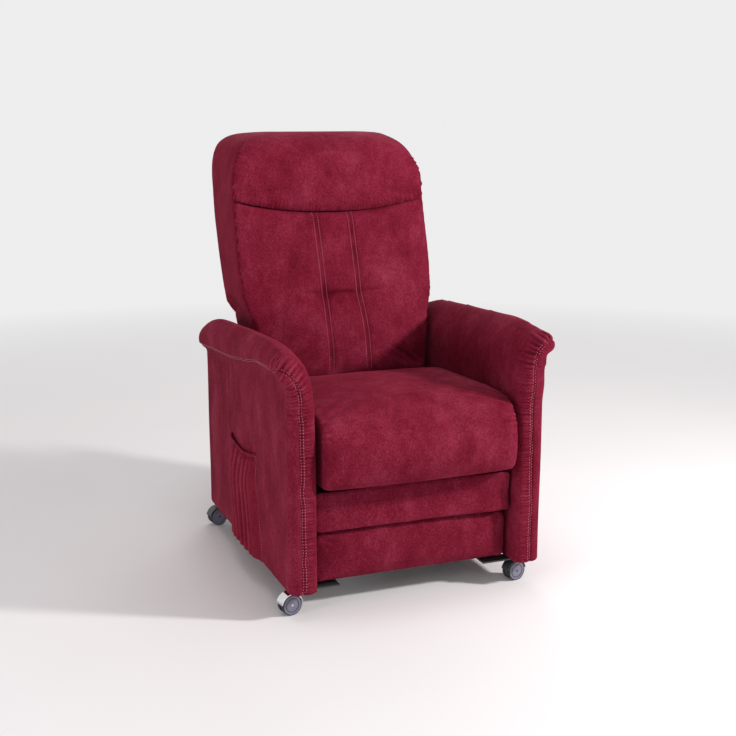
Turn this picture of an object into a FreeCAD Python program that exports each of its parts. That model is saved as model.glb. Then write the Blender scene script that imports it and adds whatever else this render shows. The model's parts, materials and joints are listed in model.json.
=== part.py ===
"""Lift recliner chair: steel lift base on castors, upholstered seat, back and footrest.

Millimetres. X runs across the seat, +Y to the back, +Z up. The chair faces -Y.
Drawing positions put the side panels from -panel_half_length to +panel_half_length
in Y; save() then shifts every piece so that the whole chair is centred on the origin.
"""
import FreeCAD, Part
import math
import os

# Overall sizes
seat_width = 520.0
arm_thickness = 70.0
roll_overhang = 24.0
panel_half_length = 390.0
hem_gap = 2.0
arm_height = 652.0
arm_rear_drop = 38.0
arm_front_drop = 34.0
roll_depth = 105.0
back_top = 1120.0
back_rear = 443.0

# Castors
wheel_radius = 25.0
wheel_width = 9.0
wheel_inner_gap = 5.0
castor_trail = 14.0
castor_swing = 102.0
hood_gap = 1.4
hood_wall = 2.4
axle_radius = 3.0
stem_radius = 4.0
stem_stand = 0.8
collar_radius = 8.0
collar_low = 20.0
hood_low = 5.0
web_play = 0.8
web_front = 8.0
web_drop = 6.0
swivel_play = 0.3
wheel_face_play = 0.2
groove_depth = 1.5
groove_outer = 18.0
groove_inner = 15.5

# Lift base
castor_inset = 29.0
castor_front_y = -321.0
castor_rear_y = 366.0
castor_clearance = 8.0
castor_plate = 4.0
rail_size = 30.0
tube_wall = 2.0
front_cross_y = -275.0
rear_cross_y = 345.0
rail_front_y = -298.0
rail_rear_y = 372.0
castor_pad_half = 18.0
castor_pad_side = 16.0
castor_tab_front = 20.0
castor_tab_rear = 40.0
ear_foot = 8.0
base_lug_half = 14.0
base_lug_depth = 10.0
base_lug_rise = 12.0
cut_over = 1.0

# Levels and widths that the base and the seat width give
seat_half = seat_width / 2
panel_out = seat_half + arm_thickness
castor_x = panel_out - castor_inset
castor_plate_bottom = 2 * wheel_radius + castor_clearance
rail_bottom = castor_plate_bottom + castor_plate
rail_top = rail_bottom + rail_size
hem_height = rail_bottom + hem_gap

# Sheet steel links and the row of planes they lie in, from the seat panel inwards
plate = 4.0
plane_pitch = 5.5
panel_gap = 6.0
pin_radius = 4.0
pin_play = 0.06
washer = 0.5

# Which sheet plane each pair of links lies in: 0 is the seat's side plates
side_plane = 0
drive_plane = 1
carrier_plane = 2
tilt_plane = 3
bracket_plane = 4
front_base_plane = 5
front_lift_plane = 6
rear_base_plane = 7
rear_lift_plane = 8

# Drives: a motor's tube, its rod with a slotted eye, and the crank the eye pushes
slide_offset = 7.5
rod_radius = 9.0
eye_plate = 6.0
eye_half = 14.0
crank_plate = 6.0
crank_half = 11.0
crank_pin = 5.0
slot_play = 0.6
tube_radius = 16.0
gearbox_half = 26.0
gearbox_length = 70.0
eye_reach = 40.0
mouth_gap = 6.0
rod_grip = 20.0
end_room = 8.0
eye_rim = 7.0
bore_play = 0.4
bore_past = 12.0
gearbox_narrow = 0.8
lift_tube_spare = 60.0
motor_lug = 10.0
seat_lug_half = 8.0
seat_lug_depth = 9.0
lift_hub = 16.0
foot_hub = 15.0
recline_hub = 16.0

# Lift linkage, (y, z) of the pivots
lift_rear_base = (-150.0, rail_top + 11.6)
lift_front_base = (-229.9, rail_top + 18.0)
lift_rear_top = (309.7, rail_top + 28.2)
lift_front_top = (39.8, rail_top + 38.4)
lift_angle = 45.0
lift_open_play = 2.0
lift_link_half = 11.0
lift_crank = 100.0
lift_crank_x = 60.0
lift_tie_radius = 9.0

# Power box and its mains inlet
power_box_x = (-170.0, -60.0)
power_box_depth = 70.0
power_box_height = 56.0
power_box_lift = 6.0
inlet_width = 30.0
inlet_height = 20.0
inlet_depth = 12.0
inlet_wall = 3.0
inlet_back = 5.0
inlet_flange = 3.0
inlet_pin = 1.5
inlet_pin_offset = 6.5

# Footrest linkage, (y, z) of the pivots
foot_drive_pivot = (-278.0, 272.0)
foot_drive_tip = (-220.0, 131.1)
foot_guide_offset = (110.0, -2.0)
foot_tilt_root = (-239.2, 80.0)
foot_hinge = (-300.0, 271.0)
foot_tilt_tip = (-322.0, 215.2)
foot_open_play = 2.4
foot_link_half = 9.5
foot_angle = 97.8
foot_crank = 75.0
foot_crank_x = -110.0
foot_slot_play = 3.4
foot_tie_radius = 7.0
torque_bar_radius = 10.0
tilt_link_slim = 2.5
tilt_tie_share = 0.42
tilt_tie_radius = 6.0

# Back hinge and recline drive
back_hinge = (200.0, 480.0)
recline_angle = 32.0
shaft_radius = 8.0
recline_crank = 230.0

# Seat frame
side_rail_bottom = 255.0
side_rail_top = 308.0
seat_bar = 25.0
upright_half = 22.0
carrier_rise = 40.0
seat_bar_top = 305.0
seat_bar_y = (59.0, 330.0)
front_rail_depth = 24.0
front_rail_back = -288.0
front_rail_bottom = 286.0
spring_wire = 1.75
spring_count = 4
spring_pitch = 80.0
spring_turn = 14.0
spring_reach = 16.0
spring_start = 8.0

# Seat cushion
cushion_gap = 3.0
cushion_front = -408.0
cushion_crown = 12.0
cushion_swell = 2.0
cushion_rear = 75.0
cushion_top = 503.0
cushion_rear_top = 488.0
cushion_corner = 30.0
cushion_edge = 16.0
cushion_base_share = 0.7
cushion_top_share = 1.4
cushion_dome = 5.0
rear_round = 20.0
soft_gap = 0.3
edge_share = 0.8

# Footrest board and pads
board_thickness = 12.0
board_front = -321.0
foot_pad_face = -340.0
foot_pad_crown = 4.0
foot_pad_bottom = hem_height + 6.0
foot_pad_top = 196.0
foot_pad_half = seat_half - 10.0
flap_face = -344.0
flap_thickness = 9.0
flap_bottom = 206.0
flap_top = 298.0
flap_half = seat_half - 12.0
flap_corner = 5.0
flap_crown = 3.0
flap_edge = 6.0
foot_pad_corner = 11.0
foot_pad_edge = 12.0
board_inset = 6.0
bracket_low = 20.0
bracket_back = 6.0
backing_sheet = 6.0
backing_inset = 4.0
backing_strip = 16.0

# Back
back_half = seat_half + 28.0
back_low_half = seat_half - 70.0
back_waist_half = seat_half - 3.0
back_wall = 12.0
back_bottom = 474.0
back_corner = 30.0
back_top_corner = 70.0
back_front_top = 232.0
arm_rear_top = arm_height - arm_rear_drop
waist_low = arm_rear_top + 26.0
waist_mid = arm_rear_top + 40.0
waist_high = arm_rear_top + 58.0
waist_bend = arm_rear_top + 108.0
waist_end = arm_rear_top + 146.0
waist_a = back_bottom + (waist_low - back_bottom) * 0.3916
waist_b = back_bottom + (waist_low - back_bottom) * 0.759
back_levels = tuple(sorted((waist_a, waist_b, waist_low, waist_mid, waist_high, waist_end,
                            824.0, 907.0, 1000.0, 1042.0)))
sweep_gap = 4.0
sweep_steps = 4
sweep_ledge = 14.0
head_seam = 907.0
tuft_height = 688.0
channel_half = 54.0
channel_depth = 7.0
channel_slope = 5.0
cushion_least = 4.0
tuft_half = 130.0
shell_front_cut = 80.0
cushion_front_cut = 90.0
lumbar_bulge = 34.0
head_bulge = 30.0
post_size = 25.0
post_x = seat_half - 110.0
post_lean = 13.0
post_foot = 12.0
post_length = 590.0
knuckle_radius = 16.0
back_rail_depth = 18.0
back_rail_half = 15.0
back_rail_rows = ((560.0, seat_half - 65.0), (790.0, seat_half - 20.0), (1030.0, seat_half - 25.0))
recline_crank_x = post_x + post_size + 4.0
strap_width = 42.0
strap_thickness = 2.0
strap_pitch = 64.0
strap_count = 4

# Arms
facing_thickness = 6.0
facing_width = 38.0
facing_head = 26.0
roll_soft = 3.0
roll_shoulder = 22.0
roll_fall = 8.0
roll_inner = 33.0
roll_inner_depth = 38.0
arm_front_radius = 36.0
arm_board = 16.0
arm_board_inset = 8.0
arm_board_front = 60.0
arm_board_rear = 40.0
arm_board_lift = 6.0
arm_board_drop = 120.0
bolt_radius = 4.0
bolt_head = 7.0
bolt_head_thickness = 3.0
bolt_y = (-40.0, 120.0, 290.0)
bolt_z = 298.0

# Rear panel
rear_panel_inset = 4.0
rear_panel_thickness = 8.0
rear_panel_top = 430.0

# Side pocket and handset
pocket_mouth_y = (-108.0, 118.0)
pocket_base_share = 0.8
pocket_depth = 22.0
pocket_fold = 6.0
pocket_cloth = 2.0
pocket_top = 340.0
pocket_bottom = hem_height + 3.0
pocket_sag = 10.0
pocket_seam_depth = 2.4
pocket_floor = 34.0
handset_width = 46.0
handset_height = 150.0
handset_depth = 13.0
handset_y = 40.0
handset_corner = 9.0
button_well = 5.0
button_drop = 24.0
button_play = 0.25
button_radius = 5.0
button_travel = 1.2
button_count = 4
button_pitch = 22.0

# Worked out once, used everywhere
arc_inset = 1 - math.sqrt(0.5)
rail_out = seat_half - panel_gap - 5 * plane_pitch - plate
rail_in = rail_out - rail_size
foot_guide_pivot = (foot_drive_pivot[0] + foot_guide_offset[0],
                    foot_drive_pivot[1] + foot_guide_offset[1])
foot_guide_tip = (foot_drive_tip[0] + foot_guide_offset[0],
                  foot_drive_tip[1] + foot_guide_offset[1])
cushion_half = seat_half - cushion_gap
cushion_bottom = seat_bar_top + 2 * spring_wire + 2 * soft_gap
front_reach = cushion_front - cushion_crown - cushion_swell
centre_y = (front_reach + back_rear) / 2


def vec(x, y, z):
    """A point."""
    return FreeCAD.Vector(x, y, z)


def block(x0, x1, y0, y1, z0, z1):
    """A box between two corners."""
    return Part.makeBox(x1 - x0, y1 - y0, z1 - z0, vec(x0, y0, z0))


def rod_x(y, z, radius, x0, x1):
    """A round bar along X."""
    return Part.makeCylinder(radius, x1 - x0, vec(x0, y, z), vec(1, 0, 0))


def rod_y(x, z, radius, y0, y1):
    """A round bar along Y."""
    return Part.makeCylinder(radius, y1 - y0, vec(x, y0, z), vec(0, 1, 0))


def rod_z(x, y, radius, z0, z1):
    """A round bar along Z."""
    return Part.makeCylinder(radius, z1 - z0, vec(x, y, z0), vec(0, 0, 1))


def wire(place, start, *steps):
    """A closed outline. A step is a point for a line, or (via, end) for an arc."""
    edges = []
    last = place(*start)
    for step in steps:
        if isinstance(step[0], tuple):
            via = place(*step[0])
            end = place(*step[1])
            edges.append(Part.Arc(last, via, end).toShape())
        else:
            end = place(*step)
            edges.append(Part.LineSegment(last, end).toShape())
        last = end
    first = place(*start)
    if last.distanceToPoint(first) > 1e-6:
        edges.append(Part.LineSegment(last, first).toShape())
    return Part.Wire(edges)


def yz_prism(x0, x1, start, *steps):
    """An outline in the YZ plane, extruded along X."""
    face = Part.Face(wire(lambda y, z: vec(x0, y, z), start, *steps))
    return face.extrude(vec(x1 - x0, 0, 0))


def xz_prism(y0, y1, start, *steps):
    """An outline in the XZ plane, extruded along Y."""
    face = Part.Face(wire(lambda x, z: vec(x, y0, z), start, *steps))
    return face.extrude(vec(0, y1 - y0, 0))


def xy_prism(z0, z1, start, *steps):
    """An outline in the XY plane, extruded along Z."""
    face = Part.Face(wire(lambda x, y: vec(x, y, z0), start, *steps))
    return face.extrude(vec(0, 0, z1 - z0))


def link(p, q, half, x0, x1):
    """A flat bar with round ends between two pivots, lying in a YZ plane."""
    dy = q[0] - p[0]
    dz = q[1] - p[1]
    length = math.hypot(dy, dz)
    uy = dy / length * half
    uz = dz / length * half
    return yz_prism(x0, x1,
                    (p[0] - uz, p[1] + uy),
                    ((p[0] - uy, p[1] - uz), (p[0] + uz, p[1] - uy)),
                    (q[0] + uz, q[1] - uy),
                    ((q[0] + uy, q[1] + uz), (q[0] - uz, q[1] + uy)))


def drilled(shape, points, radius, x0, x1):
    """Cut a round hole along X at each (y, z)."""
    for y, z in points:
        shape = shape.cut(rod_x(y, z, radius, x0 - cut_over, x1 + cut_over))
    return shape


def fused(shapes):
    """One solid out of several that meet."""
    result = shapes[0]
    for shape in shapes[1:]:
        result = result.fuse(shape)
    return result.removeSplitter()


def mirrored(shape):
    """The same piece on the other side of the chair."""
    return shape.mirror(vec(0, 0, 0), vec(1, 0, 0))


def both(shape):
    """A piece and its mirror image, as separate solids of one node."""
    return Part.makeCompound([shape, mirrored(shape)])


def plane(index):
    """Inner and outer x of a sheet plane, counted inwards from the seat panel."""
    outer = seat_half - panel_gap - index * plane_pitch
    return outer - plate, outer


def turned(point, length, degrees):
    """The end of a crank that points at an angle counted from +Y towards +Z."""
    angle = math.radians(degrees)
    return point[0] + length * math.cos(angle), point[1] + length * math.sin(angle)


def clean(shape):
    """The solid or solids in a shape, and nothing else."""
    solids = shape.Solids
    if len(solids) == 1:
        return solids[0]
    return Part.makeCompound(solids)


def save(name, shape):
    """Centre a piece in Y and write it."""
    piece = clean(shape)
    piece.translate(vec(0, -centre_y, 0))
    if not piece.isValid():
        print("not valid:", name)
    piece.exportStep(os.path.join("parts", name + ".step"))
    print(name, len(piece.Solids), round(piece.Volume / 1000, 1))


# Base frame and castors

def hollow_tube(x0, x1, y0, y1, z0, z1, along):
    """A square tube with open ends along Y or X."""
    body = block(x0, x1, y0, y1, z0, z1)
    w = tube_wall
    if along == "y":
        return body.cut(block(x0 + w, x1 - w, y0 - cut_over, y1 + cut_over, z0 + w, z1 - w))
    return body.cut(block(x0 - cut_over, x1 + cut_over, y0 + w, y1 - w, z0 + w, z1 - w))


def base_rail():
    """Right side rail with its castor plates, and the brackets of both lift links."""
    rail = hollow_tube(rail_in, rail_out, rail_front_y, rail_rear_y, rail_bottom, rail_top, "y")
    parts = [rail]
    pad = castor_pad_half
    low = castor_plate_bottom
    for y, y_in in ((castor_front_y, rail_front_y + castor_tab_front),
                    (castor_rear_y, rail_rear_y - castor_tab_rear)):
        y0 = min(y - pad, y_in)
        y1 = max(y + pad, y_in)
        tab = block(rail_in, rail_out, y0, y1, low, rail_bottom)
        tab = tab.fuse(block(rail_out, castor_x + castor_pad_side, y - pad, y + pad, low, rail_bottom))
        parts.append(tab.cut(rod_z(castor_x, y, stem_radius + pin_play,
                                   low - cut_over, rail_bottom + cut_over)))
    half = lift_link_half + 2
    for point, index, foot in ((lift_front_base, front_base_plane, rail_top - 1.5 * ear_foot),
                               (lift_rear_base, rear_base_plane, rail_top)):
        x0, x1 = plane(index)
        y, z = point
        ear = link((y, z), (y, rail_top - ear_foot), half, x0, x1)
        parts.append(ear.common(block(x0, x1, y - half, y + half, foot, z + half)))
        shaft = rod_x(y, z, pin_radius, plane(index + 1)[0] + washer, x0)
        parts.append(shaft)
    return fused(parts)


def make_base():
    """Rails, cross tubes, power box and inlet."""
    right = base_rail()
    save("base_rail_right", right)
    save("base_rail_left", mirrored(right))
    half = rail_size / 2
    save("base_cross_front", hollow_tube(-rail_in, rail_in, front_cross_y - half, front_cross_y + half,
                                         rail_bottom, rail_top, "x"))
    rear = hollow_tube(-rail_in, rail_in, rear_cross_y - half, rear_cross_y + half,
                       rail_bottom, rail_top, "x")
    rod_x_axis = lift_crank_x + slide_offset
    lug = block(rod_x_axis - base_lug_half, rod_x_axis + base_lug_half,
                rear_cross_y - half, rear_cross_y - half + base_lug_depth,
                rail_top, lift_rod_height() + base_lug_rise)
    save("base_cross_rear", fused([rear, lug]))


def swivelled(shape, x, y):
    """A castor piece, swung about its stem to where it stands at rest."""
    piece = shape.copy()
    piece.rotate(vec(x, y, 0), vec(0, 0, 1), castor_swing)
    return piece


def castor(name, x, y):
    """A hooded twin-wheel castor: swivelling housing and its pair of wheels."""
    ax = y + castor_trail
    az = wheel_radius
    far = 2 * wheel_radius
    half = wheel_inner_gap + wheel_width
    hood_in = wheel_radius + hood_gap
    hood_out = hood_in + hood_wall
    web_half = wheel_inner_gap - web_play
    top = castor_plate_bottom - swivel_play
    room = rod_x(ax, az, hood_in, x - half - cut_over, x + half + cut_over)
    ring = rod_x(ax, az, hood_out, x - half, x + half).cut(room)
    ring = ring.common(block(x - half, x + half, ax - far, ax + far, az + hood_low, az + far))
    web = rod_x(ax, az, hood_out - 1, x - web_half, x + web_half)
    web = web.common(block(x - web_half, x + web_half, ax - far, ax + web_front,
                           az - web_drop, az + far))
    collar = rod_z(x, y, collar_radius, az + collar_low, top).cut(room)
    core = rod_z(x, y, stem_radius, az + collar_low, top)
    core = core.common(block(x - web_half, x + web_half, y - far, y + far, az, az + far))
    stem = rod_z(x, y, stem_radius, castor_plate_bottom - 1, rail_bottom + stem_stand)
    axle = rod_x(ax, az, axle_radius, x - half, x + half)
    housing = fused([ring, web, collar.fuse(core), stem, axle])
    save("castor_housing_" + name, swivelled(housing, x, y))
    wheels = []
    for side in (-1, 1):
        face = x + side * (half - wheel_face_play)
        inner = x + side * wheel_inner_gap
        low = min(inner, face)
        high = max(inner, face)
        disc = rod_x(ax, az, wheel_radius, low, high)
        disc = disc.cut(rod_x(ax, az, axle_radius + pin_play, low - cut_over, high + cut_over))
        deep = face - side * groove_depth
        groove = rod_x(ax, az, groove_outer, min(face, deep), max(face, deep))
        groove = groove.cut(rod_x(ax, az, groove_inner, low - cut_over, high + cut_over))
        wheels.append(disc.cut(groove))
    save("castor_wheels_" + name, swivelled(Part.makeCompound(wheels), x, y))


def make_castors():
    """Four castors, one at each corner."""
    for side, x in (("left", -castor_x), ("right", castor_x)):
        castor("front_" + side, x, castor_front_y)
        castor("rear_" + side, x, castor_rear_y)


# Drives: a motor with a plain tube, and a rod with a slotted eye

def crank_angles(mid, sweep):
    """First and last angle of a crank that swings evenly about its middle angle."""
    return mid - sweep / 2, mid + sweep / 2


def rod_height(pivot, length, sweep, up):
    """Height halfway between a crank tip's highest and lowest."""
    drop = length * math.cos(math.radians(sweep / 2))
    middle = (length + drop) / 2
    return pivot[1] + middle if up else pivot[1] - middle


def stroke(length, sweep):
    """How far a crank pin travels along its rod."""
    return 2 * length * math.sin(math.radians(sweep / 2))


def lift_rod_height():
    """Height of the lift rod's axis."""
    return rod_height(lift_rear_base, lift_crank, lift_angle, True)


def crank(pivot, tip, x, hub, bore, side):
    """A crank plate with its pin standing out towards the rod."""
    x0 = x - crank_plate / 2
    x1 = x + crank_plate / 2
    body = link(pivot, tip, crank_half, x0, x1).fuse(rod_x(pivot[0], pivot[1], hub, x0, x1))
    far = x + side * (slide_offset + eye_plate / 2 + 1)
    peg = rod_x(tip[0], tip[1], crank_pin, min(x, far), max(x, far))
    body = body.fuse(peg)
    if bore:
        body = body.cut(rod_x(pivot[0], pivot[1], bore, x0 - cut_over, x1 + cut_over))
    return body.removeSplitter()


def slotted_rod(tip_y, height, rise, x, play, reach, length):
    """A rod along Y whose flat eye has an upright slot for the crank pin.

    reach is the eye's length past the pin, towards the rod, signed along Y.
    length is the rod's length beyond the eye, with the same sign.
    """
    sign = 1 if reach > 0 else -1
    x0 = x - eye_plate / 2
    x1 = x + eye_plate / 2
    half = crank_pin + play + eye_rim
    tall = rise / 2 + crank_pin + slot_play + eye_rim
    body = block(x0, x1, tip_y - half, tip_y + half, height - tall, height + tall)
    y_a = tip_y + sign * half
    y_b = tip_y + reach
    neck = block(x0, x1, min(y_a, y_b), max(y_a, y_b), height - eye_half / 2, height + eye_half / 2)
    y_c = y_b + length
    bar = rod_y(x, height, rod_radius, min(y_b, y_c), max(y_b, y_c))
    wide = crank_pin + play
    top = rise / 2 + slot_play
    slot = block(x0 - cut_over, x1 + cut_over, tip_y - wide, tip_y + wide,
                 height - top - crank_pin, height + top + crank_pin)
    return fused([body, neck, bar]).cut(slot)


def drive_motor(x, height, y_mouth, y_end, box_length, lug):
    """A drive: tube with the rod's bore, gearbox at its far end and a hanging lug."""
    sign = 1 if y_end > y_mouth else -1
    y_box = y_end + sign * box_length
    tube = rod_y(x, height, tube_radius, min(y_mouth, y_end), max(y_mouth, y_end))
    side = gearbox_half * gearbox_narrow
    box = block(x - side, x + side, min(y_end, y_box), max(y_end, y_box),
                height - gearbox_half, height + gearbox_half)
    body = fused([tube, box, lug])
    ends = (y_mouth - sign * cut_over, y_end + sign * bore_past)
    bore = rod_y(x, height, rod_radius + bore_play, min(ends), max(ends))
    return body.cut(bore)


def seat_lug(x, height):
    """The lug that hangs a drive's tube from the seat's front cross bar."""
    y = seat_bar_y[0]
    return block(x - seat_lug_half, x + seat_lug_half, y - seat_lug_depth, y + seat_lug_depth,
                 height + seat_lug_depth + 1, seat_bar_top - seat_bar)


def make_lift():
    """Lift links, torque bar with crank, drive, rod and power box."""
    x0, x1 = plane(rear_lift_plane)
    arm = link(lift_rear_base, lift_rear_top, lift_link_half, x0, x1)
    arm = drilled(arm, [lift_rear_base, lift_rear_top], pin_radius + pin_play, x0, x1)
    bar = rod_x(lift_rear_base[0], lift_rear_base[1], lift_link_half, -x0, x0)
    first, last = crank_angles(90.0, lift_angle)
    tip = turned(lift_rear_base, lift_crank, first)
    bar = bar.fuse(crank(lift_rear_base, tip, lift_crank_x, lift_hub, None, 1)).removeSplitter()
    save("rear_lift_links", Part.makeCompound([arm, mirrored(arm), bar]))

    x0, x1 = plane(front_lift_plane)
    arm = link(lift_front_base, lift_front_top, lift_link_half - 1, x0, x1)
    arm = drilled(arm, [lift_front_base], pin_radius + pin_play, x0, x1)
    arm = drilled(arm, [lift_front_top], pin_radius + lift_open_play, x0, x1)
    tie = rod_x(lift_front_base[0], lift_front_base[1], lift_tie_radius, -x0, x0)
    save("front_lift_links", Part.makeCompound([arm, mirrored(arm), tie]))

    rise = lift_crank * (1 - math.cos(math.radians(lift_angle / 2)))
    height = lift_rod_height()
    x = lift_crank_x + slide_offset
    travel = stroke(lift_crank, lift_angle)
    save("lift_rod", slotted_rod(tip[0], height, rise, x, slot_play, eye_reach,
                                 mouth_gap + travel + rod_grip))
    y_mouth = tip[0] + eye_reach + mouth_gap
    y_end = y_mouth + travel + rod_grip + end_room + lift_tube_spare
    y_lug = rear_cross_y - rail_size / 2
    lug = block(x - motor_lug, x + motor_lug, y_end + motor_lug / 2, y_lug,
                height - motor_lug, height + motor_lug)
    save("lift_motor", drive_motor(x, height, y_mouth, y_end, gearbox_length, lug))

    make_power_box(rear_cross_y - rail_size / 2)


def make_power_box(back):
    """The supply box against the rear cross tube, and the inlet in its left end."""
    left, right = power_box_x
    low = rail_bottom + power_box_lift
    y = back - power_box_depth / 2
    z = low + power_box_height / 2
    hy = inlet_width / 2
    hz = inlet_height / 2
    inner = left + inlet_depth
    wall = inlet_wall
    box = block(left, right, back - power_box_depth, back, low, low + power_box_height)
    box = box.cut(block(left - cut_over, inner, y - hy, y + hy, z - hz, z + hz))
    save("power_box", box)
    inlet = block(left - inlet_flange, inner, y - hy, y + hy, z - hz, z + hz)
    inlet = inlet.cut(block(left - inlet_flange - cut_over, inner - inlet_back,
                            y - hy + wall, y + hy - wall, z - hz + wall, z + hz - wall))
    for dy in (-inlet_pin_offset, inlet_pin_offset):
        inlet = inlet.fuse(rod_x(y + dy, z, inlet_pin, left, inner - inlet_back + 1))
    save("power_inlet", inlet.removeSplitter())


# Footrest linkage

def make_footrest_links():
    """Drive, guide, carrier and tilt links, all in the planes beside the seat."""
    xa0, xa1 = plane(drive_plane)
    xc0, xc1 = plane(carrier_plane)
    xd0, xd1 = plane(tilt_plane)
    half = foot_link_half
    hole = pin_radius + pin_play

    arm = link(foot_drive_pivot, foot_drive_tip, half, xa0, xa1).fuse(
        link(foot_drive_tip, foot_tilt_root, half, xa0, xa1)).removeSplitter()
    arm = drilled(arm, [foot_drive_pivot], hole, xa0, xa1)
    pins = [rod_x(foot_drive_tip[0], foot_drive_tip[1], pin_radius, xc0, xa0),
            rod_x(foot_tilt_root[0], foot_tilt_root[1], pin_radius, xd0, xa0)]
    arm = fused([arm] + pins)
    tie = rod_x(foot_drive_pivot[0], foot_drive_pivot[1], foot_tie_radius, -xa0, xa0)
    save("foot_drive_links", Part.makeCompound([arm, mirrored(arm), tie]))

    arm = link(foot_guide_pivot, foot_guide_tip, half, xa0, xa1)
    arm = drilled(arm, [foot_guide_pivot], hole, xa0, xa1)
    arm = fused([arm, rod_x(foot_guide_tip[0], foot_guide_tip[1], pin_radius, xc0, xa0)])
    tie = rod_x(foot_guide_pivot[0], foot_guide_pivot[1], torque_bar_radius, -xa0, xa0)
    first, last = crank_angles(-90.0, foot_angle)
    tip = turned(foot_guide_pivot, foot_crank, last)
    tie = tie.fuse(crank(foot_guide_pivot, tip, foot_crank_x, foot_hub, None, -1)).removeSplitter()
    save("foot_guide_links", Part.makeCompound([arm, mirrored(arm), tie]))

    rise = foot_crank * (1 - math.cos(math.radians(foot_angle / 2)))
    height = rod_height(foot_guide_pivot, foot_crank, foot_angle, False)
    x = foot_crank_x - slide_offset
    travel = stroke(foot_crank, foot_angle)
    save("foot_rod", slotted_rod(tip[0], height, rise, x, foot_slot_play, eye_reach,
                                 mouth_gap + travel + rod_grip))
    y_mouth = tip[0] + eye_reach + mouth_gap
    y_end = y_mouth + travel + rod_grip + end_room
    save("foot_motor", drive_motor(x, height, y_mouth, y_end, gearbox_length, seat_lug(x, height)))

    carrier = fused([link(foot_drive_tip, foot_guide_tip, half, xc0, xc1),
                     link(foot_drive_tip, foot_hinge, half, xc0, xc1)])
    carrier = drilled(carrier, [foot_drive_tip, foot_hinge], hole, xc0, xc1)
    carrier = drilled(carrier, [foot_guide_tip], pin_radius + slot_play, xc0, xc1)
    tie_point = ((foot_drive_tip[0] + foot_hinge[0]) / 2, (foot_drive_tip[1] + foot_hinge[1]) / 2)
    tie = rod_x(tie_point[0], tie_point[1], foot_tie_radius, -xc0, xc0)
    save("foot_carrier_links", Part.makeCompound([carrier, mirrored(carrier), tie]))

    arm = link(foot_tilt_root, foot_tilt_tip, half - tilt_link_slim, xd0, xd1)
    arm = arm.fuse(rod_x(foot_tilt_root[0], foot_tilt_root[1], half, xd0, xd1))
    arm = arm.fuse(rod_x(foot_tilt_tip[0], foot_tilt_tip[1], half, xd0, xd1)).removeSplitter()
    arm = drilled(arm, [foot_tilt_root], hole, xd0, xd1)
    arm = drilled(arm, [foot_tilt_tip], pin_radius + foot_open_play, xd0, xd1)
    tie_y = foot_tilt_root[0] + (foot_tilt_tip[0] - foot_tilt_root[0]) * tilt_tie_share
    tie_z = foot_tilt_root[1] + (foot_tilt_tip[1] - foot_tilt_root[1]) * tilt_tie_share
    tie = rod_x(tie_y, tie_z, tilt_tie_radius, -xd0, xd0)
    save("foot_tilt_links", Part.makeCompound([arm, mirrored(arm), tie]))


def ruled(sections):
    """A solid through a row of outlines that all have the same steps."""
    return Part.makeLoft(sections, True, True)


def pillow(rear, face, bottom, top, corner, crown, stations):
    """A padded board seen from the front: crowned face, round edges, drawn-in sides."""
    sections = []
    for x, inset in stations:
        place = lambda y, z, at=x: vec(at, y, z)
        f = face + inset * 0.5
        b = bottom + inset
        t = top - inset
        c = corner
        mid = (b + t) / 2
        q = c * arc_inset
        sections.append(wire(place, (rear, b), (f + c, b),
                             ((f + q, b + q), (f, b + c)),
                             ((f - crown, mid), (f, t - c)),
                             ((f + q, t - q), (f + c, t)),
                             (rear, t)))
    return ruled(sections)


def side_stations(half, edge, steps):
    """Stations across X with the inset that rounds the two ends."""
    row = []
    for i in range(steps + 1):
        angle = math.radians(90.0 * i / steps)
        inset = edge * (1 - math.sin(angle)) * edge_share
        row.append((half - edge * (1 - math.cos(angle)), inset))
    left = [(-x, inset) for x, inset in row]
    return sorted(set(left + row))


def make_footrest():
    """Footrest board, its two pads and the brackets that carry it."""
    x0, x1 = plane(bracket_plane)
    half = foot_link_half
    board_back = board_front + board_thickness
    bracket = fused([link(foot_hinge, foot_tilt_tip, half, x0, x1),
                     yz_prism(x0, x1, (board_front + 1, foot_pad_bottom + bracket_low),
                              (board_back + bracket_back, foot_pad_bottom + bracket_low),
                              (board_back + bracket_back, foot_tilt_tip[1]),
                              (foot_tilt_tip[0], foot_tilt_tip[1]),
                              (board_front + 1, foot_tilt_tip[1] - board_thickness))])
    pins = [rod_x(foot_hinge[0], foot_hinge[1], pin_radius, x1, plane(carrier_plane)[1] - washer),
            rod_x(foot_tilt_tip[0], foot_tilt_tip[1], pin_radius, x1, plane(tilt_plane)[1])]
    bracket = fused([bracket] + pins)
    save("footrest_brackets", both(bracket))
    save("footrest_board", block(-x0, x0, board_front, board_back,
                                 foot_pad_bottom + board_inset, foot_pad_top - board_inset))
    pad = pillow(board_front, foot_pad_face, foot_pad_bottom, foot_pad_top,
                 foot_pad_corner, foot_pad_crown, side_stations(foot_pad_half, foot_pad_edge, 4))
    save("footrest_pad", pad)
    flap_rear = flap_face + flap_thickness
    flap = pillow(flap_rear, flap_face, flap_bottom, flap_top,
                  flap_corner, flap_crown, side_stations(flap_half, flap_edge, 3))
    save("footrest_flap", flap)
    sheet = flap_rear + backing_sheet
    backing = block(-x0, x0, flap_rear, sheet, flap_bottom + backing_inset, flap_top - backing_inset)
    backing = backing.fuse(block(-x0, x0, sheet, board_front + backing_inset,
                                 foot_pad_top + 2, flap_bottom + backing_strip))
    save("flap_backing", backing.removeSplitter())


# Seat

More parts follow.
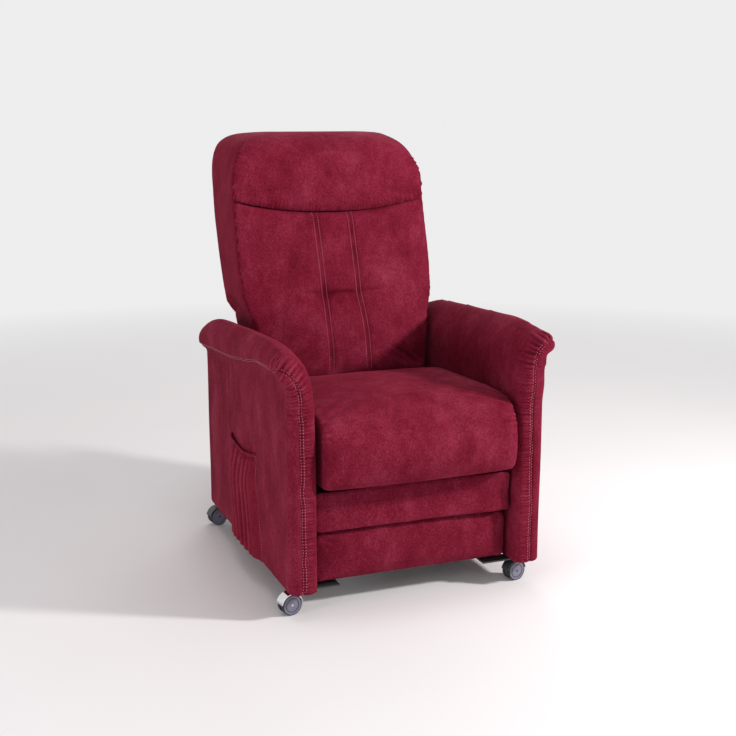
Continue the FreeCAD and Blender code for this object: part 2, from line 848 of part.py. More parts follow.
def spring_path(x, y0, y1, z):
    """A flat serpentine wire along Y, of straight rungs joined by half circles."""
    edges = []
    count = int((y1 - y0) / (2 * spring_turn))
    pitch = (y1 - y0) / count
    radius = pitch / 2
    side = 1
    last = vec(x, y0, z)
    for i in range(count):
        y = y0 + i * pitch
        start = vec(x, y, z) if i == 0 else last
        turn_a = vec(x + side * spring_reach, y, z)
        tip = vec(x + side * (spring_reach + radius), y + radius, z)
        turn_b = vec(x + side * spring_reach, y + pitch, z)
        edges.append(Part.LineSegment(start, turn_a).toShape())
        edges.append(Part.Arc(turn_a, tip, turn_b).toShape())
        last = turn_b
        side = -side
    edges.append(Part.LineSegment(last, vec(x, y1, z)).toShape())
    return Part.Wire(edges)


def make_seat_frame():
    """Side plates, cross bars, lift carriers, front rail, springs and the back's shaft."""
    x0, x1 = plane(side_plane)
    front = front_rail_back - front_rail_depth
    rear = seat_bar_y[1] + seat_bar / 2
    hy, hz = back_hinge
    side = block(x0, x1, front, rear, side_rail_bottom, side_rail_top)
    upright = link((hy, side_rail_top - 20), back_hinge, upright_half, x0, x1)
    side = fused([side, upright])
    for y in bolt_y:
        side = side.cut(rod_x(y, bolt_z, bolt_radius + pin_play, x0 - cut_over, x1 + cut_over))
    pins = [rod_x(p[0], p[1], pin_radius, plane(drive_plane)[0] + washer, x0)
            for p in (foot_drive_pivot, foot_guide_pivot)]
    side = fused([side] + pins)
    save("seat_side_plates", both(side))

    bars = []
    for y in seat_bar_y:
        bars.append(hollow_tube(-x0, x0, y - seat_bar / 2, y + seat_bar / 2,
                                seat_bar_top - seat_bar, seat_bar_top, "x"))
    save("seat_cross_bars", Part.makeCompound(bars))

    c0, c1 = plane(front_base_plane)
    under = seat_bar_top - seat_bar
    fy, fz = lift_front_top
    ry, rz = lift_rear_top
    head = lift_link_half + 1
    body = yz_prism(c0, c1, (fy - head, fz), (ry + head, rz), (ry + head, under),
                    (seat_bar_y[0] - seat_bar / 2, under), (fy - head, fz + carrier_rise))
    body = fused([body, rod_x(fy, fz, head, c0, c1), rod_x(ry, rz, head, c0, c1)])
    pins = [rod_x(fy, fz, pin_radius, plane(front_lift_plane)[0] + washer, c0),
            rod_x(ry, rz, pin_radius, plane(rear_lift_plane)[0] + washer, c0)]
    save("lift_carriers", both(fused([body] + pins)))

    save("seat_front_rail", block(-x0, x0, front, front_rail_back, front_rail_bottom, seat_bar_top))
    save("back_hinge_shaft", rod_x(hy, hz, shaft_radius, -x0, x0))

    level = seat_bar_top + spring_wire + soft_gap
    wires = []
    for i in range(spring_count):
        x = (i - (spring_count - 1) / 2) * spring_pitch
        path = spring_path(x, front + spring_start, seat_bar_y[0], level)
        start = path.Edges[0].Vertexes[0].Point
        ring = Part.Wire(Part.makeCircle(spring_wire, start, vec(1, 0, 0)))
        wires.append(path.makePipeShell([ring], True, True))
    save("seat_springs", Part.makeCompound(wires))


def cushion_section(x, inset):
    """Outline of the seat cushion at one x, drawn in by an inset."""
    front = cushion_front + inset
    bottom = cushion_bottom + max(inset, 0) * cushion_base_share
    top = cushion_top - inset
    rear_top = cushion_rear_top - inset
    rear = cushion_rear
    c = cushion_corner
    q = c * arc_inset
    big = c * cushion_top_share
    p = big * arc_inset
    end = rear_round
    e = end * arc_inset
    return wire(lambda y, z: vec(x, y, z), (rear, bottom), (front + c, bottom),
                ((front + q, bottom + q), (front, bottom + c)),
                ((front - cushion_crown, (bottom + top) / 2), (front, top - big)),
                ((front + p, top - p), (front + big, top)),
                (((front + rear) / 2, top + cushion_dome), (rear - end, rear_top)),
                ((rear - e, rear_top - e), (rear, rear_top - end)))


def make_seat_cushion():
    """The seat cushion: crowned top, bulging front and drawn-in sides."""
    stations = side_stations(cushion_half, cushion_edge, 4) + [(0.0, -cushion_swell)]
    save("seat_cushion", ruled([cushion_section(*station) for station in sorted(stations)]))


# Arms

def arm_profile(y, top, over, inset):
    """Outline of the right arm at one y: panel, overhanging roll and round inner edge."""
    inner = seat_half + inset
    outer = panel_out - inset
    out = panel_out + over
    seam = top - roll_depth
    mid = (inner + outer) / 2
    return wire(lambda x, z: vec(x, y, z), (inner, hem_height), (outer, hem_height), (outer, seam),
                ((out - roll_soft, seam + roll_depth / 4), (out, seam + roll_depth / 2)),
                ((out - roll_soft - 1, top - roll_depth / 4), (out - roll_shoulder, top - roll_fall)),
                ((mid + 4, top), (inner + roll_inner, top - 1)),
                ((inner + roll_inner / 4, top - roll_inner / 3), (inner, top - roll_inner_depth)),
                (inner, hem_height))


def arm_stations():
    """y, crest height, overhang and inset of each arm section, front to rear."""
    front = -panel_half_length + facing_thickness
    top = arm_height
    over = roll_overhang
    rear_top = top - arm_rear_drop
    return [(front, top - arm_front_drop, over - 8, 3.0),
            (front + 8, top - arm_front_drop * 0.62, over - 3, 0.6),
            (front + 26, top - arm_front_drop * 0.25, over - 1, 0.0),
            (front + 85, top, over, 0.0),
            (0.0, top, over, 0.0),
            (150.0, top - 8, over, 0.0),
            (290.0, rear_top + 4, over, 0.0),
            (panel_half_length - 14, rear_top, over - 2, 0.0),
            (panel_half_length, rear_top - 14, over - 10, 5.0)]


def arm_space():
    """What the rounded inner front edge leaves of the space an arm may fill, seen from above."""
    far = 2 * panel_out
    front = -panel_half_length + facing_thickness - cut_over
    rear = panel_half_length + cut_over
    inner = seat_half - cut_over
    r = arm_front_radius
    q = r * arc_inset
    return xy_prism(0, 2 * arm_height, (inner, rear), (inner, front + r),
                    ((inner + q, front + q), (inner + r, front)), (far, front), (far, rear))


def make_arms():
    """Upholstered arms, the boards inside them, their front facings and bolts."""
    arm = ruled([arm_profile(*station) for station in arm_stations()]).common(arm_space())
    gap = soft_gap
    bx0 = seat_half + arm_board_inset
    bx1 = bx0 + arm_board
    by0 = -panel_half_length + arm_board_front
    by1 = panel_half_length - arm_board_rear
    board_top = arm_height - arm_board_drop
    board = block(bx0, bx1, by0, by1, hem_height + arm_board_lift, board_top)
    arm = arm.cut(block(bx0 - gap, bx1 + gap, by0 - gap, by1 + gap,
                        hem_height - cut_over, board_top + gap))
    bolts = []
    x0, x1 = plane(side_plane)
    for y in bolt_y:
        arm = arm.cut(rod_x(y, bolt_z, bolt_radius + 1, seat_half - cut_over, bx0 + cut_over))
        board = board.cut(rod_x(y, bolt_z, bolt_radius + pin_play, bx0 - cut_over, bx1 + cut_over))
        head = rod_x(y, bolt_z, bolt_head, x0 - bolt_head_thickness, x0)
        bolts.append(head.fuse(rod_x(y, bolt_z, bolt_radius, x0, bx1)).removeSplitter())
    save("arm_right", arm)
    save("arm_left", mirrored(arm))
    save("arm_boards", both(board))
    save("arm_bolts", Part.makeCompound(bolts + [mirrored(b) for b in bolts]))
    make_facings()


def make_facings():
    """The flat outer strip that faces the front of each arm."""
    y0 = -panel_half_length
    y, top, over, inset = arm_stations()[0]
    cover = Part.Face(arm_profile(y0, top, over, inset)).extrude(vec(0, facing_thickness - soft_gap, 0))
    far = 2 * panel_out
    head = top - facing_head
    facing = cover.common(xz_prism(y0 - cut_over, y0 + facing_thickness,
                                   (panel_out - facing_width, 0), (far, 0),
                                   (far, head), (panel_out - 6, head),
                                   ((panel_out - 21, top - 82), (panel_out - 29, top - 160)),
                                   (panel_out - 33, top - 270)))
    save("arm_facing_right", facing)
    save("arm_facing_left", mirrored(facing))


def pocket_lines():
    """Upright lines of the pocket: y at the mouth, y at the hem, and depth off the panel."""
    full = pocket_depth
    fold = pocket_depth - pocket_fold
    return ((pocket_mouth_y[1], 104, pocket_seam_depth), (112, 99, full * 0.55), (98, 88, full * 0.86),
            (87, 75, fold - 1), (76, 62, full * 0.92), (50, 8, full), (34, -44, full * 0.96),
            (26, -62, fold), (18, -70, full * 0.96), (-5, -85, full), (-34, -100, full * 0.92),
            (-42, -108, fold - 1), (-50, -115, full * 0.86), (-80, -132, full * 0.77),
            (-100, -143, full * 0.5), (pocket_mouth_y[0], -148, pocket_seam_depth))


def pocket_section(top_y, hem_y, depth):
    """Cross-section of the pocket's cloth along one upright line, lying off the panel."""
    wall = -panel_out - soft_gap
    c = pocket_cloth
    share = (top_y - pocket_mouth_y[0]) / (pocket_mouth_y[1] - pocket_mouth_y[0])
    mouth = pocket_top - pocket_sag * math.sin(math.pi * share)

    def at(x, z):
        along = (z - pocket_bottom) / (pocket_top - pocket_bottom)
        return vec(x, hem_y + (top_y - hem_y) * along, z)

    low = wall - c - (depth - c) * pocket_base_share
    out = wall - depth
    return wire(at, (wall, pocket_bottom), (low, pocket_bottom), (out, pocket_bottom + pocket_floor),
                (out, mouth), (out + c, mouth), (out + c, pocket_bottom + pocket_floor),
                (low + c, pocket_bottom + c), (wall, pocket_bottom + c))


def make_pocket():
    """The gathered cloth pocket on the left side panel, with its main folds."""
    save("side_pocket", ruled([pocket_section(*line) for line in pocket_lines()]))


def make_handset():
    """Hand control standing in the pocket, with its sprung buttons."""
    x1 = -panel_out - 2 * soft_gap
    x0 = x1 - handset_depth
    z0 = pocket_bottom + pocket_cloth + soft_gap
    y0 = handset_y - handset_width / 2
    y1 = handset_y + handset_width / 2
    case = block(x0, x1, y0, y1, z0, z0 + handset_height)
    upright = [e for e in case.Edges if abs(e.Vertexes[0].X - e.Vertexes[1].X) > 1]
    case = case.makeFillet(handset_corner, upright)
    deep = x0 + button_well
    for i in range(button_count):
        z = z0 + handset_height - button_drop - i * button_pitch
        case = case.cut(rod_x(handset_y, z, button_radius + button_play, x0 - cut_over, deep))
        cap = rod_x(handset_y, z, button_radius, x0 - button_travel, deep - button_travel - soft_gap)
        save("handset_button_" + "abcd"[i], cap)
    save("handset_case", case)


def make_rear_panel():
    """The panel that closes the chair behind, between the two arms."""
    rear = panel_half_length - rear_panel_inset
    half = seat_half - soft_gap
    save("rear_panel", block(-half, half, rear - rear_panel_thickness, rear,
                             hem_height + 2, rear_panel_top))


# Back

def between(rows, z):
    """The value at a height in a table of (height, value) rows."""
    for (z0, y0), (z1, y1) in zip(rows, rows[1:]):
        if z <= z1:
            break
    return y0 + (y1 - y0) * (z - z0) / (z1 - z0)


def front_y(z):
    """y of the back's front border seam at a height."""
    return between(((back_bottom - 20, 118.0), (593.0, 151.0), (763.0, 187.0), (head_seam, 204.0),
                    (1049.0, back_front_top), (back_top, 262.0)), z)


def rear_y(z):
    """y of the back's rear face at a height."""
    return between(((back_bottom - 20, 262.0), (616.0, 299.0), (742.0, 357.0), (824.0, 382.0),
                    (960.0, 424.0), (1042.0, back_rear), (back_top, back_rear)), z)


def half_width(z):
    """Half the back's width at a height: narrow between the arms, wide above them."""
    return between(((back_bottom - 20, back_low_half - 4), (waist_a, seat_half - 44),
                    (waist_b, seat_half - 16), (waist_low, back_waist_half),
                    (waist_mid, back_waist_half + 5), (waist_high, back_half - 9),
                    (waist_bend, back_half - 5),
                    (waist_end, back_half - 5), (900.0, back_half + 2),
                    (1000.0, back_half - 2), (back_top, back_half - 24)), z)


def back_sections(shrink, forward):
    """Level outlines of the back, drawn in by a wall, their front moved forward."""
    sections = []
    for z in (back_bottom + shrink,) + back_levels + (back_top - shrink,):
        w = half_width(z) - shrink
        f = front_y(z) - forward
        b = rear_y(z) - shrink
        r = back_corner - shrink / 2
        q = r * arc_inset
        sections.append(wire(lambda x, y, at=z: vec(x, y, at),
                             (-w, f), (-w, b - r), ((-w + q, b - q), (-w + r, b)),
                             (w - r, b), ((w - q, b - q), (w, b - r)), (w, f), (-w, f)))
    return sections


def back_body(shrink, forward):
    """The back's outer form, with its top corners and its top edges rounded."""
    top = back_top - shrink
    w = back_half + 4 - shrink
    r = back_top_corner - shrink
    q = r * arc_inset
    outline = xz_prism(-100, 600, (-w, 0), (w, 0), (w, top - r),
                       ((w - q, top - q), (w - r, top)), (-w + r, top),
                       ((-w + q, top - q), (-w, top - r)), (-w, 0))
    rear = back_rear - shrink
    front = back_front_top + shrink - forward
    side = yz_prism(-400, 400, (-100, 0), (rear, 0), (rear, top - 75),
                    ((rear - 18, top - 26), (rear - 66, top)), (front + 62, top - 6),
                    ((front + 24, top - 26), (front, top - 62)), (-100, top - 240), (-100, 0))
    body = ruled(back_sections(shrink, forward)).common(outline).common(side)
    return beside_arms(body, shrink)


def arm_pass(angle, gap):
    """Outline of the arms beside the back, in (y, z), as the back sees them when reclined."""
    hy, hz = back_hinge
    c = math.cos(math.radians(angle))
    s = math.sin(math.radians(angle))
    front = -gap
    rear = panel_half_length + gap
    corners = ((front, 0), (front, arm_height + gap), (150.0, arm_height - 8 + gap),
               (290.0, arm_rear_top + 4 + gap), (rear, arm_rear_top + 4 + gap), (rear, 0))
    turned_back = []
    for y, z in corners:
        turned_back.append((hy + (y - hy) * c - (z - hz) * s, hz + (y - hy) * s + (z - hz) * c))
    return turned_back


def beside_arms(body, shrink):
    """Narrow the back wherever it passes between the arms as it reclines."""
    far = 2 * back_half
    for reach, gap in ((back_waist_half, sweep_gap), (back_waist_half + sweep_ledge, 0.0)):
        x0 = reach - shrink
        steps = [arm_pass(recline_angle * i / sweep_steps, gap + shrink)
                 for i in range(sweep_steps + 1)]
        side = fused([yz_prism(x0, far, *outline) for outline in steps])
        body = body.cut(side).cut(mirrored(side))
    return body


def lean_shift(z):
    """y of the posts' centre line at a height."""
    return back_hinge[0] + (z - back_hinge[1]) * math.tan(math.radians(post_lean))


def leaned(shape, y, z):
    """Tilt a piece back with the posts, and move its origin to a place on them."""
    shape.rotate(vec(0, 0, 0), vec(1, 0, 0), -post_lean)
    shape.translate(vec(0, y, z))
    return shape


def make_back_frame():
    """Posts with their hinge knuckles, cross rails, straps and the recline crank."""
    hy, hz = back_hinge
    half = post_size / 2
    end = post_x + post_size
    w = tube_wall
    post = block(post_x, end, -half, half, post_foot, post_length)
    post = post.cut(block(post_x + w, end - w, -half + w, half - w, post_foot + w, post_length - w))
    post = leaned(post, hy, hz).fuse(rod_x(hy, hz, knuckle_radius, post_x, end))
    post = post.cut(rod_x(hy, hz, shaft_radius + pin_play, post_x - cut_over, end + cut_over))
    save("back_posts", both(post.removeSplitter()))
    tip = turned(back_hinge, recline_crank, -90.0 + recline_angle / 2)
    save("recline_crank", crank(back_hinge, tip, recline_crank_x, recline_hub,
                                shaft_radius + pin_play, 1))

    rise = recline_crank * (1 - math.cos(math.radians(recline_angle / 2)))
    height = rod_height(back_hinge, recline_crank, recline_angle, False)
    x = recline_crank_x + slide_offset
    travel = stroke(recline_crank, recline_angle)
    save("recline_rod", slotted_rod(tip[0], height, rise, x, slot_play, -eye_reach,
                                    -(mouth_gap + travel + rod_grip)))
    y_mouth = tip[0] - eye_reach - mouth_gap - travel
    y_end = y_mouth - travel - rod_grip - end_room
    save("recline_motor", drive_motor(x, height, y_mouth, y_end, gearbox_length, seat_lug(x, height)))

    rail_face = -half - back_rail_depth
    rails = [leaned(block(-wide, wide, rail_face, -half, -back_rail_half, back_rail_half),
                    lean_shift(z), z) for z, wide in back_rail_rows]
    save("back_rails", Part.makeCompound(rails))
    slope = math.cos(math.radians(post_lean))
    low = (back_rail_rows[0][0] - hz) / slope - back_rail_half
    high = (back_rail_rows[-1][0] - hz) / slope + back_rail_half
    straps = []
    for i in range(strap_count):
        x = (i - (strap_count - 1) / 2) * strap_pitch - strap_width / 2
        straps.append(leaned(block(x, x + strap_width, rail_face - strap_thickness, rail_face,
                                   low, high), hy, hz))
    save("back_straps", Part.makeCompound(straps))


def cushion_front_y(x, z, bulge):
    """y of a back cushion's face: pillow bulge, channels and the tufted crease."""
    half = half_width(z) - back_wall
    share = min(abs(x) / half, 1.0)
    depth = bulge * math.sqrt(max(0.0, 1 - share ** 3))
    if z < head_seam:
        near = max(0.0, 1 - abs(abs(x) - channel_half) / channel_slope)
        depth -= channel_depth * near
        if abs(z - tuft_height) < 1.0 and abs(x) < tuft_half:
            depth -= channel_depth
    return front_y(z) - depth


def make_back_soft():
    """Shell, lumbar cushion with channels and tufts, and the head cushion."""
    shell = back_body(0, 0).cut(back_body(back_wall, shell_front_cut))
    hy, hz = back_hinge
    shell = shell.cut(block(-seat_half, seat_half, 0, 600, 0, back_bottom + back_wall + 1))
    shell = shell.cut(rod_x(hy, hz, shaft_radius + 2, -seat_half, seat_half))
    shell = shell.cut(rod_x(hy, hz, recline_hub + 1, recline_crank_x - crank_plate,
                            recline_crank_x + crank_plate))
    save("back_shell", shell)

    stack = post_size / 2 + back_rail_depth + strap_thickness + soft_gap
    thick = stack / math.cos(math.radians(post_lean))

    def rear_line(z):
        return lean_shift(z) - thick

    room = back_body(back_wall + soft_gap, cushion_front_cut)
    edges = (0.0, channel_half - 8, channel_half - channel_slope, channel_half,
             channel_half + channel_slope, channel_half + 8, 120.0, 134.0,
             back_low_half, seat_half - 20, seat_half + 2)
    stations = sorted(set([-x for x in edges] + list(edges)))

    def cushion(levels, bulge, trims):
        sections = []
        for x in stations:
            points = []
            for i, z in enumerate(levels):
                y = cushion_front_y(x, z, bulge) + trims[i]
                points.append((min(y, rear_line(z) - cushion_least), z))
            first = (rear_line(levels[0]), levels[0])
            last = (rear_line(levels[-1]), levels[-1])
            sections.append(wire(lambda y, z, at=x: vec(at, y, z), first, *points, last))
        return ruled(sections).common(room)

    low = back_bottom + back_wall + 2
    levels = (low, low + 14, 540.0, 600.0, 650.0, tuft_height - 8, tuft_height, tuft_height + 8,
              740.0, 800.0, 860.0, head_seam - 14, head_seam - 1)
    trims = (16, 4, 0, -6, -6, -2, 0, -2, 0, 0, 2, 6, 14)
    lumbar = cushion(levels, lumbar_bulge, trims)
    save("back_cushion", lumbar)
    top = back_top - back_wall - 2
    levels = (head_seam, head_seam + 12, 940.0, 980.0, 1020.0, 1050.0, 1080.0, top - 6)
    trims = (12, 3, 0, -2, 0, 4, 14, 38)
    save("head_cushion", cushion(levels, head_bulge, trims))


def main():
    """Write every piece."""
    os.makedirs("parts", exist_ok=True)
    make_base()
    make_castors()
    make_lift()
    make_footrest_links()
    make_footrest()
    make_seat_frame()
    make_seat_cushion()
    make_arms()
    make_pocket()
    make_handset()
    make_rear_panel()
    make_back_frame()
    make_back_soft()


main()
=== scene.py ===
"""Lift recliner chair: padding, stitching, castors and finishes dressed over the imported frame."""
import json
import logging
import math
from dataclasses import dataclass, field
from enum import Enum
from typing import Callable, Sequence

import bmesh
import bpy
import numpy as np
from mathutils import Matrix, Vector
from mathutils.bvhtree import BVHTree


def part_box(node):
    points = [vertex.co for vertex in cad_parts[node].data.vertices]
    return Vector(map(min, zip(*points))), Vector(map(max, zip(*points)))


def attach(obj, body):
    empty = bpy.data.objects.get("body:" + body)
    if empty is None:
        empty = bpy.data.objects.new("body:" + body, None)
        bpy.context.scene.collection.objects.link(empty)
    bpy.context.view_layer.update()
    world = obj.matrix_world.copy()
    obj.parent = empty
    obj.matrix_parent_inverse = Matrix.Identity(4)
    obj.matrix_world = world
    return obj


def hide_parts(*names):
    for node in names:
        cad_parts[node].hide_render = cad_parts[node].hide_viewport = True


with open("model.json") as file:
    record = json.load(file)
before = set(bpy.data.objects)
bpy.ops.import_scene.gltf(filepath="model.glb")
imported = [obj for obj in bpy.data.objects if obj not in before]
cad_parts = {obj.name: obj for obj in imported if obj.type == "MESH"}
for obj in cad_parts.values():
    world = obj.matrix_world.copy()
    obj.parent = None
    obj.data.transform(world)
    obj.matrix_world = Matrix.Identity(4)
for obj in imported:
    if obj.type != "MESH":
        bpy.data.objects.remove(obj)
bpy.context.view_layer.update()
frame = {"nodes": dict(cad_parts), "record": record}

LOG = logging.getLogger("chair")
MM = 0.001
CASTOR_SWING = math.radians(102.0)
BACKDROP = (0.93, 0.925, 0.93)
BACKDROP_LEVEL = 0.92
ROW_SHIFT = np.array([0.0, 10.5, 0.0])
SWELL_WAVES = 10
Points = np.ndarray
Triple = tuple[float, float, float]
Table = tuple[tuple[float, float], ...]
Route = tuple[Triple, ...]


class Side(Enum):
    """Which side of the chair a piece is on, seen from the front."""
    RIGHT = 1
    LEFT = -1


# Points and curves in drawing millimetres

def to_row(points: Points) -> Points:
    """Drawing millimetres to metres in the row frame."""
    return (np.asarray(points, float) - ROW_SHIFT) * MM


def to_drawing(points: Points) -> Points:
    """Metres in the row frame to drawing millimetres."""
    return np.asarray(points, float) / MM + ROW_SHIFT


def table(pairs: Sequence[tuple[float, float]]) -> Callable[[Points], Points]:
    """A piecewise straight function through pairs.

    Args:
        pairs: (place, value) in rising order of place.

    Returns:
        A function of a place or an array of places.
    """
    places, values = np.array(pairs, float).T
    return lambda at: np.interp(at, places, values)


def smooth_table(pairs: Sequence[tuple[float, float]]) -> Callable[[Points], Points]:
    """A smooth function through pairs, with no overshoot between them.

    Args:
        pairs: (place, value) in rising order of place.

    Returns:
        A function of a place or an array of places.
    """
    places, values = np.array(pairs, float).T
    slopes = np.diff(values) / np.diff(places)
    tangents = np.zeros(len(values))
    for i in range(1, len(values) - 1):
        if slopes[i - 1] * slopes[i] > 0:
            tangents[i] = 2 * slopes[i - 1] * slopes[i] / (slopes[i - 1] + slopes[i])
    tangents[0], tangents[-1] = slopes[0], slopes[-1]

    def value(at: Points) -> Points:
        """The smooth value.

        Args:
            at: a place or an array of places.

        Returns:
            The value at each place.
        """
        at = np.clip(np.asarray(at, float), places[0], places[-1])
        i = np.clip(np.searchsorted(places, at, side="right") - 1, 0, len(places) - 2)
        step = places[i + 1] - places[i]
        t = (at - places[i]) / step
        return ((2 * t ** 3 - 3 * t ** 2 + 1) * values[i]
                + (t ** 3 - 2 * t ** 2 + t) * step * tangents[i]
                + (3 * t ** 2 - 2 * t ** 3) * values[i + 1]
                + (t ** 3 - t ** 2) * step * tangents[i + 1])

    return value


def ease(value: Points, low: float, high: float) -> Points:
    """0 below low, 1 above high and a smooth turn between them."""
    t = np.clip((np.asarray(value, float) - low) / (high - low), 0.0, 1.0)
    return t * t * (3 - 2 * t)


def drawn_in(radius: float, gone: float) -> float:
    """How far a rounded corner of a radius still is drawn in, a way gone past its start."""
    left = max(0.0, radius - gone)
    return radius - math.sqrt(max(0.0, radius * radius - left * left))


def wander(along: Points, pitch: float, seed: int) -> Points:
    """A smooth seeded line of noise from -1 to 1.

    Args:
        along: distances along a line.
        pitch: distance from one random value to the next.
        seed: the fixed seed of the values.

    Returns:
        The noise at each distance.
    """
    values = np.random.default_rng(seed).uniform(-1, 1, 512)
    place = np.asarray(along, float) / pitch + 100.0
    i = np.floor(place).astype(int)
    t = place - i
    t = t * t * (3 - 2 * t)
    return values[i % 512] * (1 - t) + values[(i + 1) % 512] * t


def swell(points: Points, size: float, seed: int) -> Points:
    """Smooth seeded noise in space, about -1 to 1.

    Args:
        points: where it is read.
        size: the usual size of a bump.
        seed: the fixed seed.

    Returns:
        The noise at each point.
    """
    rng = np.random.default_rng(seed)
    total = np.zeros(len(points))
    for _ in range(SWELL_WAVES):
        way = rng.normal(size=3)
        way *= 2 * math.pi / (size * rng.uniform(1.4, 2.8) * np.linalg.norm(way))
        total += np.sin(points @ way + rng.uniform(0, 2 * math.pi))
    return total / math.sqrt(SWELL_WAVES)


class Line:
    """A smooth line through points in drawing millimetres, for seams, creases and stitches."""
    near: float = 140.0
    rounds: int = 3

    def __init__(self, points: Sequence[Sequence[float]], step: float = 6.0) -> None:
        """Rounds the points into a line.

        Args:
            points: what the line passes through.
            step: about how far apart its samples are.
        """
        p = np.array(points, float)
        ends = np.vstack([2 * p[0] - p[1], p, 2 * p[-1] - p[-2]])
        out = []
        for a, b, c, d in zip(ends, ends[1:], ends[2:], ends[3:]):
            n = max(2, int(np.linalg.norm(c - b) / step))
            t = np.linspace(0, 1, n, endpoint=False)[:, None]
            out.append(0.5 * (2 * b + (c - a) * t + (2 * a - 5 * b + 4 * c - d) * t ** 2
                              + (3 * b - a - 3 * c + d) * t ** 3))
        self.points = np.vstack(out + [p[-1:]])
        lengths = np.linalg.norm(np.diff(self.points, axis=0), axis=1)
        self.along = np.concatenate([[0.0], np.cumsum(lengths)])

    def through(self, points: Points) -> "Line":
        """A line through these very points.

        Args:
            points: its samples.

        Returns:
            The new line.
        """
        other = Line([points[0], points[-1]])
        other.points = points
        lengths = np.linalg.norm(np.diff(points, axis=0), axis=1)
        other.along = np.concatenate([[0.0], np.cumsum(lengths)])
        return other

    def moved(self, move: Callable[[Points], Points]) -> "Line":
        """This line, with its points moved."""
        return self.through(move(self.points))

    def flipped(self, side: Side) -> "Line":
        """This line, mirrored across the chair for its left side."""
        return self.through(self.points * [side.value, 1, 1])

    def laid(self, skin: bpy.types.Object) -> "Line":
        """This line, laid on a skin, with a little smoothing between the rounds.

        Args:
            skin: the piece it is laid on.

        Returns:
            The new line.
        """
        bpy.context.view_layer.update()
        tree = BVHTree.FromObject(skin, bpy.context.evaluated_depsgraph_get())
        points = self.points.copy()
        for turn in range(self.rounds):
            points = np.array([to_drawing(np.array(tree.find_nearest(Vector(to_row(p)))[0]))
                               for p in points])
            if turn < self.rounds - 1:
                points[1:-1] = 0.25 * points[:-2] + 0.5 * points[1:-1] + 0.25 * points[2:]
        return self.through(points)

    def place(self, point: Sequence[float]) -> float:
        """How far along the line its nearest sample to a point is."""
        return float(self.along[np.argmin(np.linalg.norm(self.points - np.array(point), axis=1))])

    def measure(self, points: Points, normals: Points) -> tuple[Points, Points, Points]:
        """How points lie to the line.

        Args:
            points: (n, 3) places.
            normals: the surface's normal at each of them.

        Returns:
            distance to the line, arc length of the nearest point, and side (1 or -1).
        """
        best = np.full(len(points), 1e9)
        along = np.zeros(len(points))
        side = np.ones(len(points))
        near = np.flatnonzero(np.all((points > self.points.min(0) - self.near)
                                     & (points < self.points.max(0) + self.near), axis=1))
        places, facing = points[near], normals[near]
        least, arc, turned = best[near], along[near], side[near]
        for start, end, passed in zip(self.points, self.points[1:], self.along):
            way = end - start
            length = np.linalg.norm(way)
            t = np.clip((places - start) @ way / (length * length), 0, 1)
            off = places - start - t[:, None] * way
            d = np.linalg.norm(off, axis=1)
            closer = d < least
            least = np.where(closer, d, least)
            arc = np.where(closer, passed + t * length, arc)
            turn = np.einsum("ij,ij->i", np.cross(way, facing), off)
            turned = np.where(closer, np.sign(turn), turned)
        best[near], along[near], side[near] = least, arc, turned
        return best, along, side


# Meshes

def new_object(name: str, points: Points, faces: Sequence[Sequence[int]],
               edges: Sequence[Sequence[int]] = ()) -> bpy.types.Object:
    """A mesh object at the origin from points in drawing millimetres.

    Args:
        name: the piece's name.
        points: its vertices.
        faces: vertex numbers of each face.
        edges: loose edges, where it has no faces.

    Returns:
        The object, smooth shaded.
    """
    mesh = bpy.data.meshes.new(name)
    mesh.from_pydata(to_row(points).tolist(), [list(e) for e in edges], [list(f) for f in faces])
    mesh.validate()
    mesh.shade_smooth()
    obj = bpy.data.objects.new(name, mesh)
    bpy.context.scene.collection.objects.link(obj)
    return obj


def loft(name: str, rings: Points) -> bpy.types.Object:
    """A closed solid through rings of equal count.

    Args:
        name: the piece's name.
        rings: (sections, points, 3) in drawing millimetres.

    Returns:
        The object, with its faces outwards.
    """
    count, around = rings.shape[:2]
    points = np.vstack([rings.reshape(-1, 3), rings[0].mean(0), rings[-1].mean(0)])
    faces = []
    for here in range(0, (count - 1) * around, around):
        there = here + around
        for j in range(around):
            k = (j + 1) % around
            faces.append((here + j, here + k, there + k, there + j))
    first, last = count * around, count * around + 1
    base = (count - 1) * around
    for j in range(around):
        k = (j + 1) % around
        faces.append((first, k, j))
        faces.append((last, base + j, base + k))
    obj = new_object(name, points, faces)
    outwards(obj)
    return obj


def outwards(obj: bpy.types.Object) -> None:
    """Merges a mesh's doubles and turns its faces outwards.

    Args:
        obj: the closed mesh.
    """
    work = bmesh.new()
    work.from_mesh(obj.data)
    bmesh.ops.remove_doubles(work, verts=work.verts, dist=1e-6)
    bmesh.ops.recalc_face_normals(work, faces=work.faces)
    work.to_mesh(obj.data)
    work.free()


def settle(obj: bpy.types.Object) -> bpy.types.Object:
    """Makes the modifiers' result the object's own mesh.

    Args:
        obj: the object with its modifiers.

    Returns:
        The same object.
    """
    bpy.context.view_layer.update()
    graph = bpy.context.evaluated_depsgraph_get()
    mesh = bpy.data.meshes.new_from_object(obj.evaluated_get(graph))
    obj.modifiers.clear()
    old, obj.data = obj.data, mesh
    bpy.data.meshes.remove(old)
    return obj


def read(obj: bpy.types.Object) -> Points:
    """Reads an object's points.

    Args:
        obj: the mesh.

    Returns:
        (n, 3) in drawing millimetres.
    """
    flat = np.zeros(len(obj.data.vertices) * 3, np.float32)
    obj.data.vertices.foreach_get("co", flat)
    return to_drawing(flat.reshape(-1, 3))


def write(obj: bpy.types.Object, points: Points) -> None:
    """Sets an object's points from drawing millimetres."""
    obj.data.vertices.foreach_set("co", to_row(points).astype(np.float32).ravel())
    obj.data.update()


